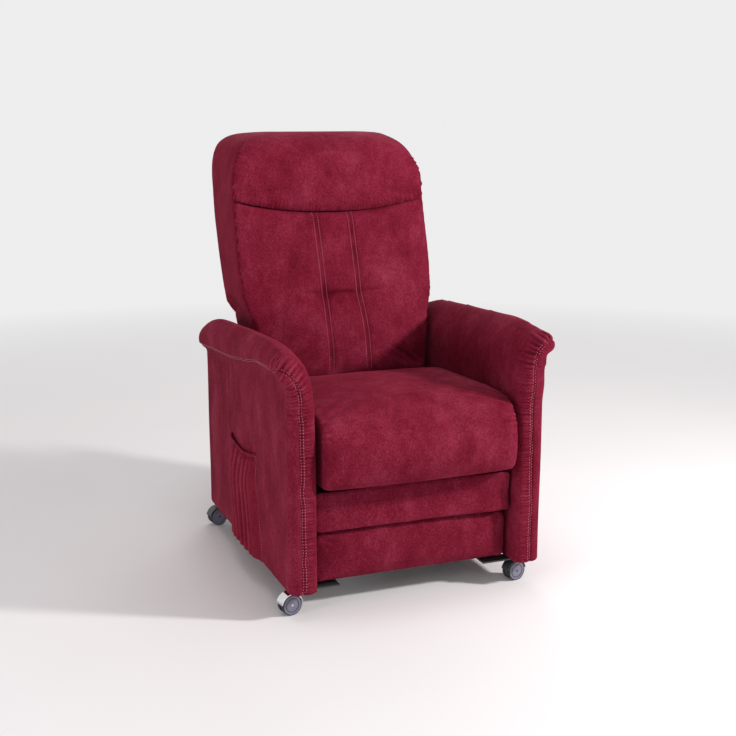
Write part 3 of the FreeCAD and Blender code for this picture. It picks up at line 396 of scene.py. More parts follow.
def normals_of(obj: bpy.types.Object) -> Points:
    """Reads an object's normals.

    Args:
        obj: the mesh.

    Returns:
        The unit normal at each point.
    """
    flat = np.zeros(len(obj.data.vertices) * 3, np.float32)
    obj.data.vertex_normals.foreach_get("vector", flat)
    return flat.reshape(-1, 3).astype(float)


def remesh(obj: bpy.types.Object, size: float, relax: int) -> None:
    """Gives a closed shape an even mesh.

    Args:
        obj: the shape.
        size: the voxel's size in millimetres.
        relax: how often the points are smoothed after it.
    """
    voxels = obj.modifiers.new("voxels", "REMESH")
    voxels.mode = "VOXEL"
    voxels.voxel_size = size * MM
    voxels.use_smooth_shade = True
    smooth = obj.modifiers.new("relax", "SMOOTH")
    smooth.factor = 0.5
    smooth.iterations = relax
    settle(obj)


def refine(obj: bpy.types.Object, wanted: Callable[[Points], Points]) -> None:
    """Divides the faces at some of the points once.

    Args:
        obj: the mesh.
        wanted: says of each point, in drawing millimetres, whether its faces are divided.
    """
    chosen = wanted(read(obj))
    work = bmesh.new()
    work.from_mesh(obj.data)
    work.verts.ensure_lookup_table()
    edges = [e for e in work.edges if chosen[e.verts[0].index] and chosen[e.verts[1].index]]
    bmesh.ops.subdivide_edges(work, edges=edges, cuts=1, use_grid_fill=True, smooth=0.6)
    bmesh.ops.triangulate(work, faces=[f for f in work.faces if len(f.verts) > 4])
    work.to_mesh(obj.data)
    work.free()
    obj.data.shade_smooth()


def divide(obj: bpy.types.Object) -> None:
    """One level of subdivision, made the object's own.

    Args:
        obj: the mesh.
    """
    levels = obj.modifiers.new("levels", "SUBSURF")
    levels.levels = levels.render_levels = 1
    settle(obj)


@dataclass(frozen=True)
class Stuffing:
    """How hard a cushion is blown up by the cloth simulation."""
    pressure: float = 4.0
    cap: float = 24.0
    frames: int = 20
    stiffness: float = 15.0
    bending: float = 0.6
    quality: int = 3

    def fill(self, obj: bpy.types.Object, hold: Callable[[Points], Points]) -> None:
        """Simulates the piece's cover under pressure and keeps the result.

        Args:
            obj: the piece, evenly meshed.
            hold: how firmly each point is held, from 0 to 1.
        """
        rest = read(obj)
        weights = np.clip(hold(rest), 0, 1)
        group = obj.vertex_groups.new(name="hold")
        for level in (0.25, 0.5, 0.75, 1.0):
            ids = np.flatnonzero(np.abs(weights - level) <= 0.125)
            group.add(ids.tolist(), level, "REPLACE")
        cloth = obj.modifiers.new("cloth", "CLOTH")
        cloth.settings.quality = self.quality
        cloth.settings.use_pressure = True
        cloth.settings.uniform_pressure_force = self.pressure
        cloth.settings.tension_stiffness = self.stiffness
        cloth.settings.compression_stiffness = self.stiffness
        cloth.settings.bending_stiffness = self.bending
        cloth.settings.effector_weights.gravity = 0
        cloth.settings.vertex_group_mass = group.name
        cloth.collision_settings.use_collision = False
        cloth.point_cache.frame_start = 1
        cloth.point_cache.frame_end = self.frames
        scene = bpy.context.scene
        for number in range(1, self.frames + 1):
            scene.frame_set(number)
        settle(obj)
        obj.vertex_groups.clear()
        scene.frame_set(1)
        move = read(obj) - rest
        far = np.linalg.norm(move, axis=1, keepdims=True) + 1e-9
        write(obj, rest + move / far * self.cap * np.tanh(far / self.cap))


@dataclass(frozen=True)
class Pleats:
    """How the little folds beside a gathered seam are laid.

    Args:
        pitch: from one fold to the next.
        depth: how deep they are at the seam.
        reach: how far they run.
        seed: the fixed seed of their unevenness.
    """
    pitch: float
    depth: float
    reach: float
    seed: int


class Sewing:
    """Moves a skin's points for seams, channels, gathers and tufts, and paints shade in their
    hollows and highlight on their ridges.
    """
    # The cloth is painted darker where the skin sinks and paler where it rises: painted shade and
    # highlight.
    seam_painted_shade: float = 0.16
    pleat_painted_light: float = 0.38
    tuft_painted_shade: float = 0.03
    seam_free: float = 3.5

    def __init__(self, obj: bpy.types.Object) -> None:
        """Reads the skin.

        Args:
            obj: the mesh that is worked on.
        """
        self.obj = obj
        self.points = read(obj)
        self.normals = normals_of(obj)
        self.painted_light_and_shade = np.zeros(len(self.points))

    def push(self, amount: Points, shade: float = 0.0) -> None:
        """Moves every point out along its normal.

        Args:
            amount: how far each point moves, in millimetres.
            shade: how much painted highlight a millimetre of it adds, or painted shade where it
                sinks.
        """
        self.points = self.points + self.normals * np.asarray(amount)[:, None]
        self.painted_light_and_shade = self.painted_light_and_shade + shade * np.asarray(amount)

    def groove(self, line: Line, depth: float, width: float, fade: float = 0.0,
               only: Points | float = 1.0, shade: float = seam_painted_shade) -> None:
        """Sinks a seam.

        Args:
            line: where it runs.
            depth: how deep it is.
            width: how far from the line it has faded.
            fade: over what length its ends run out.
            only: how much of it each point takes.
            shade: how much painted shade a millimetre of it adds in the seam.
        """
        d, along, _ = line.measure(self.points, self.normals)
        amount = depth * np.exp(-(d / width) ** 2) * only
        if fade:
            amount = amount * ease(along, 0, fade) * (1 - ease(along, line.along[-1] - fade,
                                                               line.along[-1]))
        self.push(-amount, shade)

    def gathers(self, line: Line, side: int, pleats: Pleats,
                strong: Callable[[Points], Points] | None = None) -> None:
        """Little folds that run off a seam.

        Args:
            line: the seam.
            side: 1 or -1, the side of it that is gathered, or 0 for both.
            pleats: their size and spacing.
            strong: how strong they are along the line, from 0 to 1.
        """
        pitch, seed = pleats.pitch, pleats.seed
        d, along, turn = line.measure(self.points, self.normals)
        place = along + pitch * 0.8 * wander(along, pitch * 3.1, seed)
        wave = 0.5 + 0.5 * np.cos(2 * math.pi * place / pitch)
        coarse = 0.5 + 0.5 * np.cos(2 * math.pi * place / (pitch * 2.3) + 1.1)
        far = pleats.reach * (1 + 0.4 * wander(along, pitch * 1.3, seed + 1))
        fine = np.exp(-(d / far) ** 2.2) * (wave ** 0.7 - 0.55)
        wide = np.exp(-(d / (1.3 * far)) ** 2) * (coarse - 0.5) * 0.5
        amount = pleats.depth * (fine + wide) * ease(d, 0.0, self.seam_free)
        amount *= 0.8 + 0.3 * wander(along, pitch * 4.3, seed + 2)
        if side:
            amount = np.where(turn == side, amount, 0.0)
        if strong is not None:
            amount = amount * strong(along)
        # Painted highlight on the folds' ridges and painted shade between them.
        self.push(np.where(d < 3 * pleats.reach, amount, 0.0), self.pleat_painted_light)

    def tuft(self, centre: Sequence[float], depth: float, reach: float,
             way: Sequence[float]) -> None:
        """Pulls a dimple in.

        Args:
            centre: where it is pulled.
            depth: how deep.
            reach: how wide.
            way: the direction of the pull.
        """
        d = np.linalg.norm(self.points - np.array(centre, float), axis=1)
        pull = depth * (0.6 * np.exp(-(d / reach) ** 2) + 0.4 * np.exp(-(d / (0.35 * reach)) ** 2))
        self.points = self.points + np.array(way, float) * pull[:, None]
        # Painted shade in the dimple.
        self.painted_light_and_shade = self.painted_light_and_shade - self.tuft_painted_shade * pull

    def done(self) -> None:
        """Writes the skin back, with its painted shade and highlight as an attribute that the cloth
        reads.
        """
        write(self.obj, self.points)
        painted_light_and_shade = self.obj.data.attributes.new("painted_light_and_shade", "FLOAT", "POINT")
        painted_light_and_shade.data.foreach_set("value", np.clip(self.painted_light_and_shade, -1, 1).astype(np.float32))


# Finishes

class Nodes:
    """A short way to write a tree of nodes."""

    def __init__(self, tree: bpy.types.NodeTree) -> None:
        """Empties the tree.

        Args:
            tree: the tree that is filled.
        """
        self.tree = tree
        tree.nodes.clear()

    def give(self, target: bpy.types.NodeSocket, value: object) -> None:
        """Joins a socket to another one, or sets it.

        Args:
            target: the input.
            value: an output, or a plain value.
        """
        if isinstance(value, bpy.types.NodeSocket):
            self.tree.links.new(value, target)
        else:
            target.default_value = value

    def add(self, kind: str, **values: object) -> bpy.types.Node:
        """A new node.

        Args:
            kind: the name of its type.
            values: its properties and its inputs by name, with _ for a space.

        Returns:
            The node.
        """
        node = self.tree.nodes.new(kind)
        for key, value in values.items():
            if hasattr(node, key):
                setattr(node, key, value)
            else:
                self.give(node.inputs[key.replace("_", " ")], value)
        return node

    def work_out(self, kind: str, operation: str, *values: object,
                 **settings: object) -> bpy.types.Node:
        """A node of arithmetic.

        Args:
            kind: the name of its type.
            operation: what it does.
            values: its inputs in order, sockets or plain values.
            settings: its other properties.

        Returns:
            The node.
        """
        node = self.add(kind, operation=operation, **settings)
        for target, value in zip(node.inputs, values):
            self.give(target, value)
        return node


class MaterialNodes(Nodes):
    """The nodes of a material round its one principled shader."""

    def __init__(self, name: str) -> None:
        """Starts a material with its shader and its place on the object.

        Args:
            name: the material's name.
        """
        self.material = bpy.data.materials.new(name)
        self.material.use_nodes = True
        super().__init__(self.material.node_tree)
        self.shader = self.add("ShaderNodeBsdfPrincipled")
        self.out = self.add("ShaderNodeOutputMaterial", Surface=self.shader.outputs[0])
        self.place = self.add("ShaderNodeTexCoord").outputs["Object"]

    def noise(self, size: float, detail: float, stretch: Sequence[float] = (1, 1, 1),
              rough: float = 0.5) -> bpy.types.NodeSocket:
        """A noise pattern.

        Args:
            size: about how large its bumps are, in millimetres.
            detail: how many finer layers it has.
            stretch: its scale along each axis.
            rough: how strong the finer layers are.

        Returns:
            The noise from 0 to 1.
        """
        mapping = self.add("ShaderNodeMapping", Scale=stretch, Vector=self.place)
        texture = self.add("ShaderNodeTexNoise", Scale=1.0 / (size * MM), Detail=detail,
                           Roughness=rough, Vector=mapping.outputs[0])
        return texture.outputs["Fac"]

    def ramp(self, source: bpy.types.NodeSocket,
             stops: Sequence[tuple[float, Sequence[float]]]) -> bpy.types.NodeSocket:
        """Colours along a value.

        Args:
            source: the value.
            stops: (value, colour) in rising order.

        Returns:
            The colour.
        """
        node = self.add("ShaderNodeValToRGB", Fac=source)
        while len(node.color_ramp.elements) < len(stops):
            node.color_ramp.elements.new(0.5)
        for element, (at, colour) in zip(node.color_ramp.elements, stops):
            element.position = at
            element.color = (*colour, 1.0)
        return node.outputs["Color"]

    def mottle(self, source: bpy.types.NodeSocket, colour: Sequence[float], darker: float,
               start: float = 0.3, end: float = 0.7) -> bpy.types.NodeSocket:
        """One colour with darker places.

        Args:
            source: the value that says where.
            colour: the colour above end.
            darker: its share that is left below start.
            start: the value of the darkest places.
            end: the value where the plain colour is reached.

        Returns:
            The colour.
        """
        return self.ramp(source, ((start, tuple(c * darker for c in colour)), (end, colour)))

    def blend(self, kind: str, share: float, a: bpy.types.NodeSocket,
              b: bpy.types.NodeSocket) -> bpy.types.NodeSocket:
        """Mixes two colours or values.

        Args:
            kind: the way they mix.
            share: the share of the second.
            a: the first.
            b: the second.

        Returns:
            The mix.
        """
        node = self.add("ShaderNodeMix", data_type="RGBA", blend_type=kind, Factor=share)
        self.give(node.inputs[6], a)
        self.give(node.inputs[7], b)
        return node.outputs[2]

    def spread(self, source: bpy.types.NodeSocket, low: float, high: float,
               start: float = 0.3, end: float = 0.7) -> bpy.types.NodeSocket:
        """Maps a value to a range.

        Args:
            source: the value.
            low: what start becomes.
            high: what end becomes.
            start: the lowest value that counts.
            end: the highest one.

        Returns:
            The value in its new range.
        """
        node = self.add("ShaderNodeMapRange", Value=source, From_Min=start, From_Max=end,
                        To_Min=low, To_Max=high)
        return node.outputs[0]

    def bump(self, source: bpy.types.NodeSocket, strength: float, depth: float) -> None:
        """A bump on the shader, over any there already.

        Args:
            source: its height.
            strength: how strong it is, from 0 to 1.
            depth: how deep it is, in millimetres.
        """
        node = self.add("ShaderNodeBump", Strength=strength, Distance=depth * MM, Height=source)
        normal = self.shader.inputs["Normal"]
        if normal.is_linked:
            self.give(node.inputs["Normal"], normal.links[0].from_socket)
        self.give(normal, node.outputs[0])

    def finish(self, **values: object) -> bpy.types.Material:
        """Sets the shader's inputs.

        Args:
            values: what each input is given, by its name with _ for a space.

        Returns:
            The material.
        """
        for key, value in values.items():
            self.give(self.shader.inputs[key.replace("_", " ")], value)
        return self.material


@dataclass(frozen=True)
class Microfibre:
    """Brushed microfibre cloth: a mottled pile with a pale bloom at grazing angles, and painted
    shade and highlight along its seams and folds.
    """
    name: str
    dark: Triple = (0.082, 0.0015, 0.0075)
    mid: Triple = (0.160, 0.0085, 0.0255)
    light: Triple = (0.270, 0.033, 0.066)
    tint: Triple = (1.0, 0.16, 0.28)
    bloom: float = 0.07
    painted_light_strength: float = 0.11

    def make(self) -> bpy.types.Material:
        """Makes the finish.

        Returns:
            The material.
        """
        n = MaterialNodes(self.name)
        patches = n.noise(85, 2.0, (1, 1, 0.75))
        strokes = n.noise(22, 3.0, (1, 1, 0.6), 0.6)
        flecks = n.noise(3.6, 2.0, (1, 1, 0.7), 0.65)
        grain = n.noise(1.3, 2.0)
        mix = patches
        for share, layer in ((0.42, strokes), (0.44, flecks), (0.16, grain)):
            mix = n.blend("MIX", share, mix, layer)
        # The colour is shifted by the painted shade and highlight that the sewing left along seams
        # and folds.
        painted_light_and_shade = n.add("ShaderNodeAttribute", attribute_name="painted_light_and_shade").outputs["Fac"]
        value_with_painted_light = n.work_out("ShaderNodeMath", "MULTIPLY_ADD", painted_light_and_shade, self.painted_light_strength, mix).outputs[0]
        for layer, strength, depth in ((strokes, 0.35, 1.4), (flecks, 0.45, 0.5),
                                       (grain, 0.35, 0.25)):
            n.bump(layer, strength, depth)
        return n.finish(
            Base_Color=n.ramp(value_with_painted_light, ((0.33, self.dark), (0.50, self.mid), (0.71, self.light))),
            Roughness=n.spread(mix, 0.95, 0.75), Sheen_Weight=self.bloom, Sheen_Roughness=0.38,
            Sheen_Tint=(*self.tint, 1), Specular_IOR_Level=0.06)


@dataclass(frozen=True)
class Thread:
    """Twisted sewing thread, paler than the cloth."""
    name: str
    colour: Triple = (0.50, 0.15, 0.22)

    def make(self) -> bpy.types.Material:
        """Makes the finish.

        Returns:
            The material.
        """
        n = MaterialNodes(self.name)
        n.bump(n.noise(0.5, 1.0), 0.4, 0.15)
        return n.finish(Base_Color=n.mottle(n.noise(6, 2.0), self.colour, 0.75, 0.35, 0.65),
                        Roughness=0.6, Sheen_Weight=0.3)


@dataclass(frozen=True)
class Metal:
    """Bare or coated metal with a little mottling, wear and streaks from brushing."""
    name: str
    colour: Triple
    metallic: float
    rough: tuple[float, float]
    grain: float = 0.6
    depth: float = 0.05
    streak: Triple = (1, 1, 1)

    def make(self) -> bpy.types.Material:
        """Makes the finish.

        Returns:
            The material.
        """
        n = MaterialNodes(self.name)
        cloud = n.noise(30, 3.0)
        fine = n.noise(self.grain, 3.0, self.streak)
        n.bump(fine, 0.3, self.depth)
        return n.finish(Base_Color=n.mottle(cloud, self.colour, 0.82), Metallic=self.metallic,
                        Roughness=n.spread(n.blend("MIX", 0.5, cloud, fine), *self.rough))


@dataclass(frozen=True)
class Moulded:
    """Moulded plastic with a fine eroded grain."""
    name: str
    colour: Triple
    rough: tuple[float, float] = (0.42, 0.6)
    grain: float = 0.9
    depth: float = 0.08

    def make(self) -> bpy.types.Material:
        """Makes the finish.

        Returns:
            The material.
        """
        n = MaterialNodes(self.name)
        fine = n.noise(self.grain, 2.0)
        n.bump(fine, 0.35, self.depth)
        return n.finish(Base_Color=n.mottle(n.noise(18, 2.0), self.colour, 0.86),
                        Roughness=n.spread(fine, *self.rough))


@dataclass(frozen=True)
class Plywood:
    """Birch plywood: long pale figure with thin darker lines."""
    name: str
    lines: Triple = (0.36, 0.22, 0.11)
    middle: Triple = (0.56, 0.38, 0.21)
    pale: Triple = (0.66, 0.48, 0.29)

    def make(self) -> bpy.types.Material:
        """Makes the finish.

        Returns:
            The material.
        """
        n = MaterialNodes(self.name)
        figure = n.noise(14, 4.0, (0.12, 1, 1), 0.6)
        pores = n.noise(1.6, 2.0, (0.1, 1, 1))
        n.bump(pores, 0.4, 0.2)
        tone = n.ramp(n.blend("MIX", 0.35, figure, pores),
                      ((0.36, self.lines), (0.52, self.middle), (0.7, self.pale)))
        return n.finish(Base_Color=tone, Roughness=n.spread(pores, 0.55, 0.75))


@dataclass(frozen=True)
class Webbing:
    """Woven elastic webbing with crossing ribs."""
    name: str
    hollow: Triple = (0.015, 0.015, 0.016)
    raised: Triple = (0.072, 0.072, 0.0768)

    def make(self) -> bpy.types.Material:
        """Makes the finish.

        Returns:
            The material.
        """
        n = MaterialNodes(self.name)
        ribs = [n.add("ShaderNodeTexWave", wave_type="BANDS", bands_direction=way, Scale=190.0,
                      Distortion=0.6, Vector=n.place).outputs["Fac"] for way in ("X", "Z")]
        weave = n.blend("MULTIPLY", 1.0, *ribs)
        n.bump(weave, 0.6, 0.4)
        return n.finish(Base_Color=n.ramp(weave, ((0.1, self.hollow), (0.8, self.raised))),
                        Roughness=0.85)


@dataclass(frozen=True)
class WheelFace:
    """A castor wheel: a grey face with painted shade at its hub and in its groove ring, inside a
    black tread.
    """
    name: str
    centre: Triple
    axle: Triple
    face: Triple = (0.19, 0.19, 0.26)
    tread: Triple = (0.012, 0.012, 0.014)

    def make(self) -> bpy.types.Material:
        """Makes the finish.

        Returns:
            The material.
        """
        n = MaterialNodes(self.name)
        out = n.place
        for operation, value in (("SUBTRACT", self.centre), ("CROSS_PRODUCT", self.axle)):
            out = n.work_out("ShaderNodeVectorMath", operation, out, value).outputs[0]
        out = n.work_out("ShaderNodeVectorMath", "LENGTH", out).outputs["Value"]
        # Painted shade at the hub and in the groove ring.
        painted_hub_shade, ring = (tuple(c * share for c in self.face) for share in (0.5, 0.45))
        tone = n.ramp(n.spread(out, 0.0, 1.0, 0.0, 0.025), (
            (0.0, painted_hub_shade), (0.16, self.face), (0.62, self.face), (0.68, ring), (0.74, self.face),
            (0.90, self.face), (0.93, self.tread)))
        n.bump(n.noise(0.7, 2.0), 0.25, 0.06)
        return n.finish(Base_Color=n.blend("MULTIPLY", 0.25, tone, n.noise(9, 3.0)),
                        Roughness=n.spread(out, 0.3, 0.62, 0.021, 0.024))


@dataclass(frozen=True)
class Paper:
    """The pale studio floor."""
    name: str
    colour: Triple = (0.84, 0.83, 0.835)
    runs_out: tuple[float, float] = (1.1, 4.5)

    def make(self) -> bpy.types.Material:
        """Makes the finish, which runs out into the plain background far from the chair.

        Returns:
            The material.
        """
        n = MaterialNodes(self.name)
        away = n.work_out("ShaderNodeVectorMath", "LENGTH", n.place).outputs["Value"]
        far = n.spread(away, 0.0, 1.0, *self.runs_out)
        camera = n.add("ShaderNodeLightPath").outputs["Is Camera Ray"]
        seen = n.work_out("ShaderNodeMath", "MULTIPLY", far, camera)
        glow = n.add("ShaderNodeEmission", Strength=BACKDROP_LEVEL, Color=(*BACKDROP, 1))
        mix = n.add("ShaderNodeMixShader", Fac=seen.outputs[0])
        n.give(mix.inputs[1], n.shader.outputs[0])
        n.give(mix.inputs[2], glow.outputs[0])
        n.give(n.out.inputs["Surface"], mix.outputs[0])
        return n.finish(Base_Color=n.mottle(n.noise(700, 2.0), self.colour, 0.97), Roughness=0.7,
                        Specular_IOR_Level=0.2)


class Wardrobe:
    """Every finish of the chair, made once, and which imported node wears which."""

    def __init__(self) -> None:
        """Makes the finishes."""
        finishes = (
            Microfibre("cloth_main"),
            Microfibre("cloth_border", dark=(0.105, 0.004, 0.013), mid=(0.172, 0.010, 0.027),
                       light=(0.235, 0.024, 0.048)),
            # Near-black reddish cloth on the boards seen in the gaps: painted shade, since those
            # gaps show only shadow.
            Microfibre("painted_shade_lining", dark=(0.012, 0.004, 0.006), mid=(0.022, 0.008, 0.011),
                       light=(0.035, 0.014, 0.018), bloom=0.05),
            Thread("thread"),
            Metal("black_coat", (0.030, 0.030, 0.033), 0.0, (0.34, 0.55), grain=1.1, depth=0.1),
            Metal("zinc_plate", (0.42, 0.43, 0.45), 1.0, (0.3, 0.46), grain=0.8,
                  streak=(1, 0.15, 1)),
            # The castor metal in two copies: bright chrome for the hood that caught the light, dark
            # for the shaded ones.
            Metal("castor_hood_lit_copy", (0.80, 0.80, 0.83), 1.0, (0.06, 0.16), grain=3.0, depth=0.02),
            Moulded("castor_hood_shaded_copy", (0.035, 0.035, 0.040), (0.25, 0.4)),
            Moulded("drive_case", (0.022, 0.022, 0.024)),
            Moulded("handset_case", (0.045, 0.045, 0.050), (0.35, 0.5)),
            Moulded("handset_key", (0.50, 0.50, 0.53), (0.4, 0.55)),
            Plywood("plywood"),
            Webbing("webbing"),
        )
        self.materials = {f.name: f.make() for f in finishes}

    def dress(self, obj: bpy.types.Object, name: str) -> bpy.types.Object:
        """Gives an object one finish on every slot.

        Args:
            obj: the object.
            name: the name of its finish.

        Returns:
            The same object.
        """
        material = self.materials[name]
        if obj.data.materials:
            for i in range(len(obj.data.materials)):
                obj.data.materials[i] = material
        else:
            obj.data.materials.append(material)
        return obj

    def fit(self, obj: bpy.types.Object, finish: str, slot: str, body: str,
            *nodes: str) -> None:
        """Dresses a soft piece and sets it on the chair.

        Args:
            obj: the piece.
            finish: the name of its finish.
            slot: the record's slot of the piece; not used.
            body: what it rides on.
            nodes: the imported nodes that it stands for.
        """
        self.dress(obj, finish)
        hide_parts(*nodes)
        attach(obj, body)

    def dress_nodes(self, nodes: dict[str, bpy.types.Object]) -> None:
        """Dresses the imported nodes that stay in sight.

        Args:
            nodes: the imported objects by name.
        """
        slots = {part["node"]: part["material_slot"] for part in frame["record"]["subparts"]}
        # Castor metal gets the dark hood as its shaded copy; the front-left hood in the dict below
        # is its lit copy in bright chrome.
        by_slot = {"black_steel": "black_coat", "zinc_steel": "zinc_plate",
                   "drive_plastic": "drive_case", "wood": "plywood", "strap": "webbing",
                   "castor_metal": "castor_hood_shaded_copy", "handset": "handset_case",
                   "button": "handset_key", "upholstery": "cloth_main", "piping": "cloth_border",
                   "pocket_cloth": "cloth_border"}
        # Boards seen in the gaps wear the dark lining as painted shade.
        special = {"castor_housing_front_left": "castor_hood_lit_copy", "flap_backing": "painted_shade_lining",
                   "footrest_board": "painted_shade_lining", "arm_boards": "painted_shade_lining",
                   "seat_front_rail": "painted_shade_lining"}
        for name, node in nodes.items():
            slot = slots[name]
            if slot == "castor_wheel":
                low, high = (np.array(corner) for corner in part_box(name))
                wheel = WheelFace(name + "_finish", tuple((low + high) / 2),
                                  (math.cos(CASTOR_SWING), math.sin(CASTOR_SWING), 0.0))
                self.materials[wheel.name] = wheel.make()
                self.dress(node, wheel.name)
            else:
                self.dress(node, special.get(name, by_slot[slot]))


# Stitches, which repeat along lines

class Repeater:
    """A geometry nodes tree that sets one small shape along lines."""

    def __init__(self, name: str) -> None:
        """Builds the tree.

        Args:
            name: the tree's name.
        """
        self.tree = bpy.data.node_groups.new(name, "GeometryNodeTree")
        face = self.tree.interface
        self.sockets = {}
        for label, kind in (("Geometry", "NodeSocketGeometry"), ("Pitch", "NodeSocketFloat"),
                            ("Length", "NodeSocketFloat"), ("Width", "NodeSocketFloat"),
                            ("Seed", "NodeSocketInt"), ("Finish", "NodeSocketMaterial")):
            socket = face.new_socket(name=label, in_out="INPUT", socket_type=kind)
            self.sockets[label] = socket.identifier
        face.new_socket(name="Geometry", in_out="OUTPUT", socket_type="NodeSocketGeometry")
        n = Nodes(self.tree)
        given = n.add("NodeGroupInput").outputs
        curve = n.add("GeometryNodeMeshToCurve", Mesh=given["Geometry"])
        spaced = n.add("GeometryNodeResampleCurve", mode="LENGTH", Curve=curve.outputs[0],
                       Length=given["Pitch"])
        tangent = n.add("GeometryNodeInputTangent")
        turn = n.add("FunctionNodeAlignRotationToVector", axis="Z", Vector=tangent.outputs[0])
        bead = n.add("GeometryNodeMeshUVSphere", Segments=6, Rings=4, Radius=0.5)
        size = n.add("ShaderNodeCombineXYZ", X=given["Width"], Y=given["Width"],
                     Z=given["Length"])
        scaled = n.add("GeometryNodeTransform", Geometry=bead.outputs["Mesh"],
                       Scale=size.outputs[0])
        uneven = n.add("FunctionNodeRandomValue", data_type="FLOAT_VECTOR", Seed=given["Seed"])
        uneven.inputs[0].default_value = (0.85, 0.85, 0.8)
        uneven.inputs[1].default_value = (1.1, 1.1, 1.05)
        placed = n.add("GeometryNodeInstanceOnPoints", Points=spaced.outputs[0],
                       Instance=scaled.outputs[0], Rotation=turn.outputs[0],
                       Scale=uneven.outputs[0])
        real = n.add("GeometryNodeRealizeInstances", Geometry=placed.outputs[0])
        smooth = n.add("GeometryNodeSetShadeSmooth", Geometry=real.outputs[0])
        finish = n.add("GeometryNodeSetMaterial", Geometry=smooth.outputs[0],
                       Material=given["Finish"])
        n.add("NodeGroupOutput", Geometry=finish.outputs[0])

    def run(self, obj: bpy.types.Object, pitch: float, length: float, width: float, seed: int,
            finish: bpy.types.Material) -> bpy.types.Object:
        """Runs the tree on an object and keeps the result as its mesh.

        Args:
            obj: loose edges in lines.
            pitch: from one shape to the next, in millimetres.
            length: a shape's length.
            width: its width.
            seed: the fixed seed of its unevenness.
            finish: its material.

        Returns:
            The same object.
        """
        modifier = obj.modifiers.new("repeat", "NODES")
        modifier.node_group = self.tree
        for label, value in (("Pitch", pitch * MM), ("Length", length * MM),
                             ("Width", width * MM), ("Seed", seed), ("Finish", finish)):
            modifier[self.sockets[label]] = value
        return settle(obj)


@dataclass
class StitchBook:
    """Collects the stitched lines of one body and sews them on at the end."""
    body: str
    slot: str = "upholstery"
    pitch: float = 7.0
    length: float = 3.8
    width: float = 1.6
    lift: float = 0.35
    seed: int = 7
    stand_off: float = 0.09
    lines: list[Points] = field(default_factory=list)

    def row(self, skin: bpy.types.Object, line: Line, offset: float,
            aim: Sequence[float] | None = None) -> None:
        """Lays one row of stitches on a skin beside a seam.

        Args:
            skin: the piece it lies on.
            line: the seam.
            offset: how far beside it, to its positive side.
            aim: the direction it is dropped onto the skin in, or None for the nearest place.
        """
        bpy.context.view_layer.update()
        tree = BVHTree.FromObject(skin, bpy.context.evaluated_depsgraph_get())
        out = []
        for p, t in zip(line.points, np.gradient(line.points, axis=0)):
            if aim is None:
                spot, normal, _, _ = tree.find_nearest(Vector(to_row(p)))
                beside = Vector(t).cross(normal).normalized() * offset * MM
                place, normal, _, _ = tree.find_nearest(spot + beside)
            else:
                way = Vector(aim)
                beside = Vector(t).cross(way).normalized() * offset * MM
                start = Vector(to_row(p)) - way * self.stand_off - beside
                place, normal, _, _ = tree.ray_cast(start, way)
            if place is not None:
                out.append(to_drawing(np.array(place + normal * self.lift * MM)))
        if len(out) > 2:
            row = np.array(out)
            for _ in range(4):
                row[1:-1] = 0.25 * row[:-2] + 0.5 * row[1:-1] + 0.25 * row[2:]
            self.lines.append(row)

    def sew(self, repeater: Repeater, wardrobe: Wardrobe) -> bpy.types.Object:
        """Makes every row's stitches one mesh that rides on the body.

        Args:
            repeater: the tree that sets the stitches.
            wardrobe: the finishes.

        Returns:
            The piece.
        """
        points = np.vstack(self.lines)
        edges, start = [], 0
        for line in self.lines:
            edges += [(start + i, start + i + 1) for i in range(len(line) - 1)]
            start += len(line)
        obj = new_object(self.body + "_stitches", points, (), edges)
        repeater.run(obj, self.pitch, self.length, self.width, self.seed,
                     wardrobe.materials["thread"])
        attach(obj, self.body)
        return obj


# Upholstery

@dataclass(frozen=True)
class ArmShape:
    """What differs between the two arms, because they were sewn a little apart.

    Args:
        crest: the height of the top along the arm.
        under: the height of the roll's underside along it.
        shoulder: how far below the top the inner side is, by the way across.
        slope: how much lower the outer side of the front end is.
        seam: where the cover's seam runs, for the right side.
    """
    crest: Table
    under: Table
    shoulder: Table
    slope: float
    seam: Route


ARM_SHAPES = {
    Side.RIGHT: ArmShape(
        crest=((-394, 634), (-391, 641), (-384, 646), (-370, 650), (-332, 655), (-267, 663),
               (-218, 665), (-51, 659), (73, 654), (201, 647), (290, 630), (345, 612),
               (390, 592)),
        under=((-394, 602), (-388, 599), (-376, 593), (-364, 588), (-349, 586), (-300, 587),
               (-203, 584), (-60, 563), (38, 549), (150, 541), (272, 532), (390, 523)),
        shoulder=((0, 124), (2, 92), (6, 68), (16, 43), (30, 23), (46, 9), (62, 1.5), (71, 0)),
        slope=40.0,
        seam=((352, 385, 528), (353, 272, 536), (353, 150, 545), (354, 38, 553),
              (354, -60, 567), (355, -203, 588), (355, -300, 597), (355, -340, 606),
              (353, -365, 622), (347, -384, 632), (337, -391, 633), (321, -394, 627),
              (308, -394, 615), (298, -394, 596), (294, -394, 574), (293, -394, 549),
              (295, -394, 424), (298, -394, 250), (299, -394, 66))),
    Side.LEFT: ArmShape(
        crest=((-394, 586), (-392, 595), (-386, 606), (-376, 618), (-360, 629), (-332, 639),
               (-300, 645), (-218, 650), (-159, 648), (-51, 644), (73, 636), (234, 626),
               (310, 610), (350, 598), (390, 580)),
        under=((-394, 568), (-388, 572), (-380, 577), (-364, 580), (-349, 581), (-318, 583),
               (-203, 581), (-60, 560), (38, 547), (272, 531), (390, 521)),
        shoulder=((0, 108), (2, 78), (6, 55), (16, 32), (30, 14), (46, 4), (60, 0), (70, 0)),
        slope=60.0,
        seam=((352, 385, 525), (353, 272, 535), (353, 150, 544), (354, 38, 552),
              (354, -60, 565), (354, -203, 586), (353, -318, 597), (345, -364, 603),
              (338, -381, 602), (326, -391, 593), (314, -394, 576), (306, -394, 545),
              (304, -394, 504), (303, -394, 420), (301, -394, 250), (299, -394, 66))),
}


